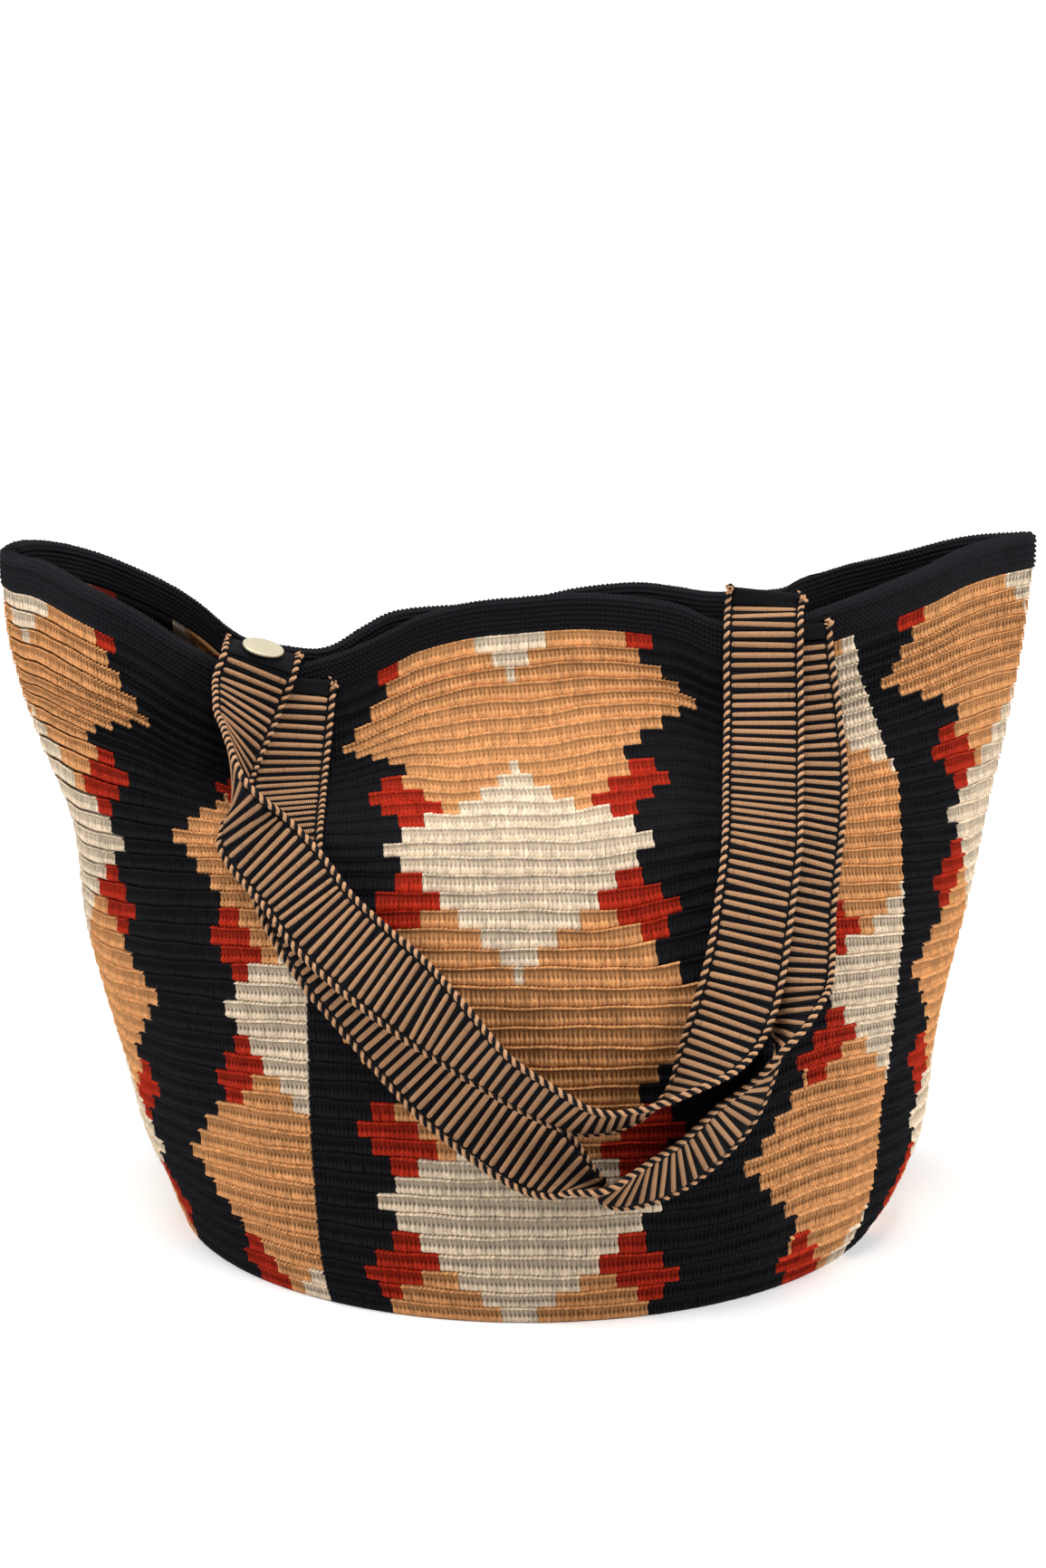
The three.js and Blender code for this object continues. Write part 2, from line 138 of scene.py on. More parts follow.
class Graph:
    """A node tree whose nodes all come from one method."""

    def __init__(self, tree: bpy.types.NodeTree) -> None:
        """Wrap an existing tree."""
        self.tree = tree

    def socket(self, sockets: bpy.types.bpy_prop_collection, key: int | str) -> bpy.types.NodeSocket:
        """Find a socket by number, identifier or name.

        Args:
            sockets: A node's inputs or outputs.
            key: Number, identifier or name.

        Returns:
            The socket.
        """
        if isinstance(key, int):
            return sockets[key]
        for each in sockets:
            if each.identifier == key:
                return each
        return next(each for each in sockets if each.name == key and each.enabled)

    def node(
        self,
        kind: str,
        settings: Mapping[str, object] | None = None,
        sockets: Mapping[int | str, object] | None = None,
    ) -> bpy.types.Node:
        """Add a node.

        Args:
            kind: The node's type.
            settings: Its settings, which are set first.
            sockets: Values or links of its sockets.

        Returns:
            The new node.
        """
        node = self.tree.nodes.new(kind)
        for name, value in (settings or {}).items():
            setattr(node, name, value)
        for key, value in (sockets or {}).items():
            target = self.socket(node.inputs, key)
            source = getattr(value, "socket", value)
            if isinstance(source, bpy.types.NodeSocket):
                self.tree.links.new(source, target)
            else:
                target.default_value = source
        return node

    def value(
        self, kind: str, settings: Mapping[str, object], sockets: Mapping[int | str, object]
    ) -> "Value":
        """Add a node and take its first output as a number."""
        return Value(self, self.node(kind, settings, sockets).outputs[0])

    def pack(self, x: "Value | float", y: "Value | float") -> bpy.types.NodeSocket:
        """A vector made of two numbers."""
        return self.node("ShaderNodeCombineXYZ", {}, {0: x, 1: y}).outputs[0]


class Value:
    """A number in a node tree that can be used in plain arithmetic."""

    def __init__(self, graph: Graph, socket: bpy.types.NodeSocket) -> None:
        """Wrap a number socket."""
        self.graph = graph
        self.socket = socket

    def _math(self, operation: str, *terms: "Value | float") -> "Value":
        """Join a Math node to the given terms."""
        return self.graph.value("ShaderNodeMath", {"operation": operation}, dict(enumerate(terms)))

    def __add__(self, other: "Value | float") -> "Value":
        """Sum."""
        return self._math("ADD", self, other)

    __radd__ = __add__

    def __sub__(self, other: "Value | float") -> "Value":
        """Difference."""
        return self._math("SUBTRACT", self, other)

    def __rsub__(self, other: float) -> "Value":
        """Difference from a plain number."""
        return self._math("SUBTRACT", other, self)

    def __mul__(self, other: "Value | float") -> "Value":
        """Product."""
        return self._math("MULTIPLY", self, other)

    __rmul__ = __mul__

    def __truediv__(self, other: "Value | float") -> "Value":
        """Quotient."""
        return self._math("DIVIDE", self, other)

    def __abs__(self) -> "Value":
        """Size without its sign."""
        return self._math("ABSOLUTE", self)

    def __lt__(self, other: "Value | float") -> "Value":
        """1 where this is smaller."""
        return self._math("LESS_THAN", self, other)

    def __gt__(self, other: "Value | float") -> "Value":
        """1 where this is larger."""
        return self._math("GREATER_THAN", self, other)

    def floor(self) -> "Value":
        """Whole part."""
        return self._math("FLOOR", self)

    def fract(self) -> "Value":
        """Part after the whole number."""
        return self._math("FRACT", self)

    def nearest(self) -> "Value":
        """Nearest whole number."""
        return self._math("ROUND", self)

    def sine(self) -> "Value":
        """Sine of a number of turns."""
        return self._math("SINE", self * (2 * math.pi))

    def cosine(self) -> "Value":
        """Cosine of a number of turns."""
        return self._math("COSINE", self * (2 * math.pi))

    def at_least(self, other: "Value | float") -> "Value":
        """The larger of two numbers."""
        return self._math("MAXIMUM", self, other)

    def at_most(self, other: "Value | float") -> "Value":
        """The smaller of two numbers."""
        return self._math("MINIMUM", self, other)

    def rise(self, low: float, high: float) -> "Value":
        """Smooth step from 0 at low to 1 at high.

        Args:
            low: Where the step begins.
            high: Where it ends.

        Returns:
            The step.
        """
        settings = {"interpolation_type": "SMOOTHSTEP"}
        return self.graph.value(
            "ShaderNodeMapRange", settings, {"Value": self, "From Min": low, "From Max": high}
        )

    def hump(self, centre: float, half_width: float) -> "Value":
        """Smooth bump of height 1 at the centre that ends half_width away."""
        return (1.0 - abs(self - centre) / half_width).rise(0.0, 1.0)


class Arrow:
    """A vector or colour in a node tree."""

    def __init__(self, graph: Graph, socket: bpy.types.NodeSocket) -> None:
        """Wrap a vector or colour socket."""
        self.graph = graph
        self.socket = socket

    def _vector(self, operation: str, sockets: Mapping[int | str, object]) -> "Arrow":
        """Join a Vector Math node to the given sockets."""
        node = self.graph.node("ShaderNodeVectorMath", {"operation": operation}, sockets)
        return Arrow(self.graph, node.outputs[0])

    def __add__(self, other: "Arrow") -> "Arrow":
        """Sum."""
        return self._vector("ADD", {0: self, 1: other})

    def __mul__(self, amount: Value | float) -> "Arrow":
        """Scaled by a number."""
        return self._vector("SCALE", {0: self, "Scale": amount})

    __rmul__ = __mul__

    def cross(self, other: "Arrow") -> "Arrow":
        """Cross product."""
        return self._vector("CROSS_PRODUCT", {0: self, 1: other})

    def toward(self, other: "Arrow | Sequence[float]", amount: Value) -> "Arrow":
        """This colour mixed toward another one.

        Args:
            other: The other colour.
            amount: 0 keeps this colour and 1 gives the other.

        Returns:
            The mixed colour.
        """
        sockets = {"Factor_Float": amount, "A_Color": self, "B_Color": other}
        node = self.graph.node("ShaderNodeMix", {"data_type": "RGBA"}, sockets)
        return Arrow(self.graph, self.graph.socket(node.outputs, "Result_Color"))


class Shader:
    """Builds one material from uv coordinates with a Principled surface at its end."""

    def __init__(self, name: str) -> None:
        """Start an empty material."""
        self.material = bpy.data.materials.new(name)
        self.material.use_nodes = True
        self.material.node_tree.nodes.clear()
        self.graph = Graph(self.material.node_tree)

    def coordinates(self) -> tuple[Value, Value]:
        """The two uv numbers of the surface."""
        uv = self.graph.node("ShaderNodeUVMap", {"uv_map": UV_NAME})
        split = self.graph.node("ShaderNodeSeparateXYZ", {}, {0: uv.outputs[0]})
        return Value(self.graph, split.outputs[0]), Value(self.graph, split.outputs[1])

    def noise(self, x: Value, y: Value, scale: float, detail: float = 2.0) -> Value:
        """Soft noise from 0 to 1, around 0.5, over two numbers.

        Args:
            x: First number.
            y: Second number.
            scale: How fine it is.
            detail: Layers of finer noise.

        Returns:
            The noise.
        """
        sockets = {"Vector": self.graph.pack(x, y), "Scale": scale, "Detail": detail}
        return self.graph.value("ShaderNodeTexNoise", {}, sockets)

    def grain(self, scale: float, detail: float = 2.0) -> Value:
        """Soft noise from 0 to 1, around 0.5, through the object's own space.

        Args:
            scale: How fine it is.
            detail: Layers of finer noise.

        Returns:
            The noise.
        """
        place = self.graph.node("ShaderNodeTexCoord").outputs["Object"]
        sockets = {"Vector": place, "Scale": scale, "Detail": detail}
        return self.graph.value("ShaderNodeTexNoise", {}, sockets)

    def speckle(self, x: Value, y: Value) -> Value:
        """A different number from 0 to 1 for each pair of whole numbers.

        Args:
            x: First whole number.
            y: Second whole number.

        Returns:
            The number.
        """
        node = self.graph.node(
            "ShaderNodeTexWhiteNoise", {"noise_dimensions": "2D"}, {"Vector": self.graph.pack(x, y)}
        )
        return Value(self.graph, self.graph.socket(node.outputs, "Value"))

    def colour(self, colour: Sequence[float]) -> Arrow:
        """A fixed colour to start from."""
        sockets = dict(zip(("Red", "Green", "Blue"), colour))
        return Arrow(self.graph, self.graph.node("ShaderNodeCombineColor", {}, sockets).outputs[0])

    def principled(self, sockets: Mapping[int | str, object]) -> bpy.types.NodeSocket:
        """A Principled surface with the given sockets."""
        return self.graph.node("ShaderNodeBsdfPrincipled", {}, sockets).outputs[0]

    def close(self, surface: bpy.types.NodeSocket) -> bpy.types.Material:
        """End the material in a surface."""
        self.graph.node("ShaderNodeOutputMaterial", {}, {"Surface": surface})
        return self.material

    def finish(self, colour: Arrow, height: Value, yarn: YarnFinish) -> bpy.types.Material:
        """Join colour and relief to a Principled surface.

        Args:
            colour: The base colour.
            height: Relief, about 0 to 1.
            yarn: Roughness, specular level and depth of the relief.

        Returns:
            The material.
        """
        relief = {"Strength": 1.0, "Distance": yarn.bump_depth, "Height": height}
        bump = self.graph.node("ShaderNodeBump", {}, relief)
        sockets = {
            "Base Color": colour,
            "Roughness": yarn.roughness,
            "Specular IOR Level": yarn.specular,
            "Normal": bump.outputs[0],
        }
        return self.close(self.principled(sockets))


class PieceTree:
    """A Geometry Nodes tree with named inputs that turns an object into a finished mesh."""

    def __init__(self, name: str) -> None:
        """Start an empty tree with one geometry in and one out."""
        tree = bpy.data.node_groups.new(name, "GeometryNodeTree")
        tree.interface.new_socket("Geometry", in_out="INPUT", socket_type="NodeSocketGeometry")
        tree.interface.new_socket("Geometry", in_out="OUTPUT", socket_type="NodeSocketGeometry")
        self.graph = Graph(tree)
        self.entry = self.graph.node("NodeGroupInput")
        self.keys: dict[str, str] = {}

    @property
    def geometry(self) -> bpy.types.NodeSocket:
        """The geometry that comes in."""
        return self.entry.outputs["Geometry"]

    def input(self, name: str, kind: str, start: object = None) -> Value:
        """Add a named input.

        Args:
            name: Its name.
            kind: Its socket type, such as Float.
            start: Its value when none is given.

        Returns:
            The input, for use inside the tree.
        """
        item = self.graph.tree.interface.new_socket(name, in_out="INPUT", socket_type=f"NodeSocket{kind}")
        if start is not None:
            item.default_value = start
        self.keys[name] = item.identifier
        return Value(self.graph, self.entry.outputs[name])

    def attribute(self, name: str) -> Arrow:
        """A vector that the points carry."""
        settings = {"data_type": "FLOAT_VECTOR"}
        node = self.graph.node("GeometryNodeInputNamedAttribute", settings, {"Name": name})
        return Arrow(self.graph, node.outputs[0])

    def close(self, geometry: bpy.types.NodeSocket, material: Value) -> None:
        """End the tree in Realize Instances and Set Material.

        Args:
            geometry: What the tree has made.
            material: The material input.
        """
        real = self.graph.node("GeometryNodeRealizeInstances", {}, {"Geometry": geometry})
        named = self.graph.node(
            "GeometryNodeSetMaterial", {}, {"Geometry": real.outputs[0], "Material": material}
        )
        self.graph.node("NodeGroupOutput", {}, {0: named.outputs[0]})

    def run(self, obj: bpy.types.Object, values: Mapping[str, object]) -> bpy.types.Object:
        """Put the tree's result into the object as a plain mesh.

        Args:
            obj: The object that carries the points or the path.
            values: Values of the named inputs.

        Returns:
            The same object with its finished mesh.
        """
        modifier = obj.modifiers.new(self.graph.tree.name, "NODES")
        modifier.node_group = self.graph.tree
        for name, value in values.items():
            modifier[self.keys[name]] = value
        bpy.context.view_layer.update()
        evaluated = obj.evaluated_get(bpy.context.evaluated_depsgraph_get())
        mesh = bpy.data.meshes.new_from_object(evaluated)
        obj.modifiers.remove(modifier)
        obj.data = mesh
        return obj


def stitch_tree() -> PieceTree:
    """Small meshes set on points, each turned by the point's own frame and a little at random.

    Returns:
        The tree.
    """
    tree = PieceTree("set_on_points")
    template = tree.input("Template", "Object")
    jitter = tree.input("Jitter", "Float", 0.05)
    seed = tree.input("Seed", "Int", 7)
    material = tree.input("Material", "Material")
    graph = tree.graph
    shape = graph.node("GeometryNodeObjectInfo", {}, {"Object": template})
    ends = {"Min": (-1.0, -1.0, -1.0), "Max": (1.0, 1.0, 1.0), "Seed": seed}
    random = graph.node("FunctionNodeRandomValue", {"data_type": "FLOAT_VECTOR"}, ends)
    shake = Arrow(graph, random.outputs[0])
    turn = graph.node(
        "FunctionNodeAxesToRotation",
        {"primary_axis": "Z", "secondary_axis": "X"},
        {0: tree.attribute("out"), 1: tree.attribute("along") + shake * jitter},
    )
    sockets = {
        "Points": tree.geometry,
        "Instance": shape.outputs["Geometry"],
        "Rotation": turn.outputs[0],
        "Scale": tree.attribute("reach"),
    }
    placed = graph.node("GeometryNodeInstanceOnPoints", {}, sockets)
    tree.close(placed.outputs[0], material)
    return tree


def strand_tree(steps_per_turn: float = 9.0, sides: int = 6) -> PieceTree:
    """A round strand that winds around a path.

    Args:
        steps_per_turn: Points of the path in one turn.
        sides: Sides of the strand's section.

    Returns:
        The tree.
    """
    tree = PieceTree("wound_strand")
    pitch = tree.input("Pitch", "Float", RIB_PITCH * MM)
    phase = tree.input("Phase", "Float", 0.0)
    swing = tree.input("Swing", "Float", 0.0008)
    radius = tree.input("Radius", "Float", 0.0009)
    material = tree.input("Material", "Material")
    graph = tree.graph
    path = graph.node("GeometryNodeMeshToCurve", {}, {"Mesh": tree.geometry})
    spacing = {"Curve": path.outputs[0], "Length": pitch / steps_per_turn}
    even = graph.node("GeometryNodeResampleCurve", {"mode": "LENGTH"}, spacing)
    spline = graph.node("GeometryNodeSplineParameter")
    turns = Value(graph, spline.outputs["Length"]) / pitch + phase
    normal = Arrow(graph, graph.node("GeometryNodeInputNormal").outputs[0])
    travel = Arrow(graph, graph.node("GeometryNodeInputTangent").outputs[0])
    offset = (normal * turns.cosine() + travel.cross(normal) * turns.sine()) * swing
    wound = graph.node("GeometryNodeSetPosition", {}, {"Geometry": even.outputs[0], "Offset": offset})
    profile = graph.node("GeometryNodeCurvePrimitiveCircle", {}, {"Resolution": sides, "Radius": radius})
    sockets = {"Curve": wound.outputs[0], "Profile Curve": profile.outputs[0], "Fill Caps": True}
    tube = graph.node("GeometryNodeCurveToMesh", {}, sockets)
    smooth = graph.node("GeometryNodeSetShadeSmooth", {}, {"Geometry": tube.outputs[0]})
    tree.close(smooth.outputs[0], material)
    return tree


# The bag's surface


@dataclass(frozen=True)
class Section:
    """One level section of the wall, in millimetres."""

    row: float
    left: float
    right: float
    front: float
    back: float
    full: float
    front_z: float
    side_z: float
    back_z: float

    def values(self) -> np.ndarray:
        """Everything but the row, as one array."""
        return np.array(
            [self.left, self.right, self.front, self.back, self.full, self.front_z, self.side_z, self.back_z]
        )


# Level sections from the top of the wall to the base.
SECTIONS = (
    Section(0, 229, 224, -36, -22, 2.2, 270, 284, 268),
    Section(4.5, 226, 221, -54, 0, 2.3, 241, 251, 239),
    Section(9, 216, 213, -82, 22, 2.4, 217, 220, 208),
    Section(14.5, 202, 203, -119, 54, 2.4, 194, 181, 176),
    Section(21.5, 196, 193, -150, 94, 2.2, 148, 131, 135),
    Section(28, 184, 184, -158, 126, 2.1, 96, 85, 90),
    Section(33.5, 175, 180, -157, 148, 2.0, 52, 44, 50),
    Section(37, 165, 172, -156, 157, 2.0, 22, 21, 22),
    Section(40, 157, 159, -152, 153, 2.0, 0, 0, 0),
)

# Top edge of the mouth: front from the centre to the right fold, the back, then the left fold.
MOUTH = (
    (-4, -32, 283), (22, -33, 285), (46, -36, 284), (65, -38, 281), (81, -42, 275),
    (100, -45, 272), (120, -46, 278), (147, -42, 287), (174, -31, 296), (190, -21, 302),
    (206, -9, 305), (223, 2, 307), (204, 11, 305), (189, 14, 302), (174, 14, 298),
    (159, 10, 295), (143, 0, 293), (131, -10, 291), (121, -22, 290), (112, -33, 288),
    (100, -34, 287), (80, -31, 286), (62, -27, 288), (46, -25, 289), (21, -22, 286),
    (-1, -21, 281), (-25, -22, 279), (-46, -24, 278), (-60, -26, 276), (-72, -28, 270),
    (-84, -31, 263), (-94, -32, 261), (-110, -32, 263), (-123, -24, 264), (-134, -14, 268),
    (-149, 0, 277), (-165, 8, 285), (-190, 13, 295), (-209, 10, 301), (-224, 5, 303),
    (-231, -2, 301), (-226, -10, 298), (-213, -22, 297), (-190, -42, 289), (-168, -49, 279),
    (-148, -50, 266), (-126, -46, 254), (-110, -44, 253), (-97, -42, 256), (-77, -40, 262),
    (-57, -37, 271), (-46, -35, 276), (-25, -33, 281),
)


def curve_through(p0: np.ndarray, p1: np.ndarray, p2: np.ndarray, p3: np.ndarray, f: float) -> np.ndarray:
    """Point between p1 and p2 on the smooth curve through four points."""
    return 0.5 * (
        2 * p1
        + (p2 - p0) * f
        + (2 * p0 - 5 * p1 + 4 * p2 - p3) * f * f
        + (3 * p1 - p0 - 3 * p2 + p3) * f * f * f
    )


def hump(x: np.ndarray, centre: float, half_width: float) -> np.ndarray:
    """Smooth bump of height 1 at the centre that ends half_width away."""
    return smoothstep(1 - np.abs(x - centre) / half_width)


def unit(vectors: np.ndarray) -> np.ndarray:
    """Vectors of length one along the last axis."""
    length = np.linalg.norm(vectors, axis=-1, keepdims=True)
    return vectors / np.maximum(length, 1e-12)


def smoothstep(x: np.ndarray | float) -> np.ndarray:
    """Smooth step from 0 to 1 over 0 to 1.

    Args:
        x: Numbers at which it is read.

    Returns:
        The step, 0 below 0 and 1 above 1.
    """
    t = np.clip(x, 0.0, 1.0)
    return t * t * (3 - 2 * t)


@dataclass
class BagSurface:
    """The wall of the bag as a surface over column and row."""

    samples: int = 1056
    mouth_steps: int = 20
    section_samples: int = 1440
    band_height: float = 15.0
    band_rows: float = 2.0
    blend_rows: float = 17.0
    normal_columns: float = 0.8
    normal_rows: float = 0.5
    fold_margin: float = 1.5
    pinch: float = 0.4

    def __post_init__(self) -> None:
        """Sample the mouth and the plain top ring once."""
        points = np.array(MOUTH, float)
        line = [
            curve_through(*(points[(i + shift) % len(points)] for shift in (-1, 0, 1, 2)), part)
            for i in range(len(points))
            for part in np.arange(self.mouth_steps) / self.mouth_steps
        ]
        self.mouth_top = self._even(np.array(line))
        self.mouth_low = self.mouth_top - np.array([0.0, 0.0, self.band_height])
        self.plain_top = self._section_ring(self._section_at(0.0))

    def _even(self, line: np.ndarray) -> np.ndarray:
        """Even steps of length around a closed line.

        Args:
            line: Points around the line, in order.

        Returns:
            As many points as the surface has samples.
        """
        loop = np.vstack([line, line[:1]])
        travelled = np.concatenate([[0.0], np.cumsum(np.linalg.norm(np.diff(loop, axis=0), axis=1))])
        want = np.linspace(0.0, travelled[-1], self.samples, endpoint=False)
        return np.stack([np.interp(want, travelled, loop[:, k]) for k in range(3)], axis=-1)

    def _section_at(self, row: float) -> np.ndarray:
        """Section values at any row, on a smooth curve through the given sections.

        Args:
            row: The row.

        Returns:
            All values of the section but its row.
        """
        last = len(SECTIONS) - 1
        i = 0
        while i < last - 1 and SECTIONS[i + 1].row <= row:
            i += 1
        a, b = SECTIONS[i], SECTIONS[i + 1]
        before, after = SECTIONS[max(i - 1, 0)], SECTIONS[min(i + 2, last)]
        step = b.row - a.row
        f = (row - a.row) / step
        slope_a = (b.values() - before.values()) / (b.row - before.row) * step
        slope_b = (after.values() - a.values()) / (after.row - a.row) * step
        return (
            (2 * f**3 - 3 * f * f + 1) * a.values()
            + (f**3 - 2 * f * f + f) * slope_a
            + (-2 * f**3 + 3 * f * f) * b.values()
            + (f**3 - f * f) * slope_b
        )

    def _section_ring(self, values: np.ndarray) -> np.ndarray:
        """Even samples around one section.

        Args:
            values: Values of the section.

        Returns:
            The ring of points.
        """
        left, right, front, back, full, front_z, side_z, back_z = values
        angle = np.linspace(0.0, 2 * np.pi, self.section_samples, endpoint=False)
        across, ahead = np.sin(angle), np.cos(angle)
        power = 2.0 / full
        x = np.where(across > 0, right, -left) * np.abs(across) ** power
        y = np.where(ahead > 0, front, back) * np.abs(ahead) ** power
        z = side_z + (np.where(ahead > 0, front_z, back_z) - side_z) * ahead**2
        return self._even(np.stack([x, y, z], axis=-1))

    def ring(self, row: float) -> np.ndarray:
        """All samples around the bag at one row.

        Args:
            row: The row, below 0 on the rim band.

        Returns:
            The ring of points.
        """
        if row < 0:
            return self.mouth_low + (self.mouth_top - self.mouth_low) * (-row / self.band_rows)
        weight = 1 - smoothstep(row / self.blend_rows)
        return self._section_ring(self._section_at(row)) + (self.mouth_low - self.plain_top) * weight

    def around(self, ring: np.ndarray, columns: np.ndarray) -> np.ndarray:
        """Points of a ring at given columns.

        Args:
            ring: All samples of the ring.
            columns: Columns wanted.

        Returns:
            One point for each column.
        """
        at = (np.asarray(columns) / COLUMNS * self.samples) % self.samples
        i = np.floor(at).astype(int) % self.samples
        f = (at - np.floor(at))[..., None]
        return ring[i] * (1 - f) + ring[(i + 1) % self.samples] * f

    def grid(self, rows: np.ndarray, columns: np.ndarray) -> np.ndarray:
        """Points for every row and column."""
        return np.stack([self.around(self.ring(float(r)), columns) for r in rows])

    def point(self, column: float, row: float) -> np.ndarray:
        """One point of the wall."""
        return self.around(self.ring(row), np.array([column]))[0]

    def outward(self, column: float, row: float) -> np.ndarray:
        """Direction out of the wall at one point.

        Args:
            column: Column of the point.
            row: Row of the point.

        Returns:
            A direction of length one.
        """
        wide, high = self.normal_columns, self.normal_rows
        r = min(max(row, high), WALL_ROWS - 1.0)
        along = self.point(column + wide, r) - self.point(column - wide, r)
        down = self.point(column, r + high) - self.point(column, r - high)
        return unit(np.cross(down, along))

    def lifted(self, column: float, row: float, lift: float) -> np.ndarray:
        """A point lifted off the wall."""
        return self.point(column, row) + self.outward(column, row) * lift

    def inner(self, row: float, depth: float, columns: np.ndarray) -> np.ndarray:
        """Inner side of the wall at one row: toward the far wall and in from both folds.

        Args:
            row: The row.
            depth: Thickness of the wall.
            columns: Columns wanted.

        Returns:
            One point for each column.
        """
        ring = self.ring(row)
        right, left = int(np.argmax(ring[:, 0])), int(np.argmin(ring[:, 0]))
        front = np.array([i for i in range(self.samples) if i <= right or i >= left])
        back = np.array([i for i in range(self.samples) if right <= i <= left])
        gap = np.zeros(self.samples)
        for own, other in ((front, back), (back, front)):
            order = other[np.argsort(ring[other, 0])]
            far = np.interp(ring[own, 0], ring[order, 0], ring[order, 1])
            gap[own] = far - ring[own, 1]
        step = np.sign(gap) * np.minimum(depth, np.abs(gap) * self.pinch)
        reach = np.abs(ring[:, 0]).max()
        moved = ring.copy()
        moved[:, 0] *= 1 - (depth + self.fold_margin) / reach
        moved[:, 1] += step
        return self.around(moved, columns)


# Mesh helpers


def link_mesh(name: str, points: np.ndarray, edges: list, faces: list) -> bpy.types.Object:
    """Make a linked object at the origin from points in millimetres.

    Args:
        name: Its name.
        points: Its points.
        edges: Its edges, as pairs.
        faces: Its faces.

    Returns:
        The object.
    """
    mesh = bpy.data.meshes.new(name)
    mesh.from_pydata((points.reshape(-1, 3) * MM).tolist(), edges, faces)
    obj = bpy.data.objects.new(name, mesh)
    bpy.context.scene.collection.objects.link(obj)
    return obj


def weld(mesh: bpy.types.Mesh) -> None:
    """Join points that meet, so that seams, poles and flattened ends are closed.

    Args:
        mesh: The mesh to mend.
    """
    shape = bmesh.new()
    shape.from_mesh(mesh)
    bmesh.ops.remove_doubles(shape, verts=shape.verts, dist=WELD_DISTANCE)
    shape.to_mesh(mesh)
    shape.free()


def carry(obj: bpy.types.Object, **vectors: np.ndarray) -> None:
    """Store vectors on an object's points.

    Args:
        obj: The object.
        **vectors: One array for each name.
    """
    for name, values in vectors.items():
        layer = obj.data.attributes.new(name, "FLOAT_VECTOR", "POINT")
        layer.data.foreach_set("vector", np.asarray(values, np.float32).ravel())


def carried(mesh: bpy.types.Mesh, name: str) -> np.ndarray:
    """Read vectors from a mesh's points and drop them there.

    Args:
        mesh: The mesh.
        name: Name of the vectors.

    Returns:
        The vectors, one row a point.
    """
    values = np.zeros(len(mesh.vertices) * 3, np.float32)
    mesh.attributes[name].data.foreach_get("vector", values)
    mesh.attributes.remove(mesh.attributes[name])
    return values.reshape(-1, 3)


def set_on_points(
    tree: PieceTree,
    name: str,
    template: bpy.types.Object,
    places: Mapping[str, np.ndarray],
    values: Mapping[str, object],
) -> bpy.types.Object:
    """Set a small mesh on many points and give the result its uv map.

    Args:
        tree: The tree of stitch_tree.
        name: Name of the piece.
        template: The small mesh, with its own uv as the vector "local".
        places: Arrays "at", "out", "along", "reach" in millimetres, and "home", the uv of each point.
        values: Other inputs of the tree.

    Returns:
        The finished piece.
    """
    obj = link_mesh(name, places["at"], [], [])
    carry(obj, **{key: value for key, value in places.items() if key != "at"})
    tree.run(obj, {"Template": template, **values})
    mesh = obj.data
    uv = (carried(mesh, "home") + carried(mesh, "local"))[:, :2]
    for spare in ("out", "along", "reach"):
        carried(mesh, spare)
    corners = np.zeros(len(mesh.loops), np.int32)
    mesh.loops.foreach_get("vertex_index", corners)
    layer = mesh.uv_layers.new(name=UV_NAME)
    layer.data.foreach_set("uv", uv[corners].ravel())
    mesh.polygons.foreach_set("use_smooth", np.ones(len(mesh.polygons), bool))
    return obj


def grid_faces(rows: int, columns: int, closed: bool) -> np.ndarray:
    """Quads of a grid whose points run along each row.

    Args:
        rows: Rows of points.
        columns: Points in a row.
        closed: True where each row is a ring.

    Returns:
        The quads.
    """
    r = np.arange(rows - 1)[:, None]
    c = np.arange(columns if closed else columns - 1)[None, :]
    n = (c + 1) % columns
    corners = [r * columns + c, (r + 1) * columns + c, (r + 1) * columns + n, r * columns + n]
    return np.stack(corners, axis=-1).reshape(-1, 4)


def grid_uvs(across: np.ndarray, along: np.ndarray, closed: bool, turn: float) -> np.ndarray:
    """Corner uvs that match grid_faces. A closed grid gains one turn at its seam.

    Args:
        across: First uv number of each column of points.
        along: Second uv number of each row of points.
        closed: True where each row is a ring.
        turn: What a ring adds at its seam.

    Returns:
        The uv of each corner.
    """
    wide = np.append(across, across[0] + turn) if closed else across
    c = np.arange(len(wide) - 1)
    left = np.broadcast_to(wide[c], (len(along) - 1, len(c)))
    right = np.broadcast_to(wide[c + 1], left.shape)
    top = np.broadcast_to(along[:-1, None], left.shape)
    low = np.broadcast_to(along[1:, None], left.shape)
    return np.stack([left, top, left, low, right, low, right, top], axis=-1).reshape(-1, 2)


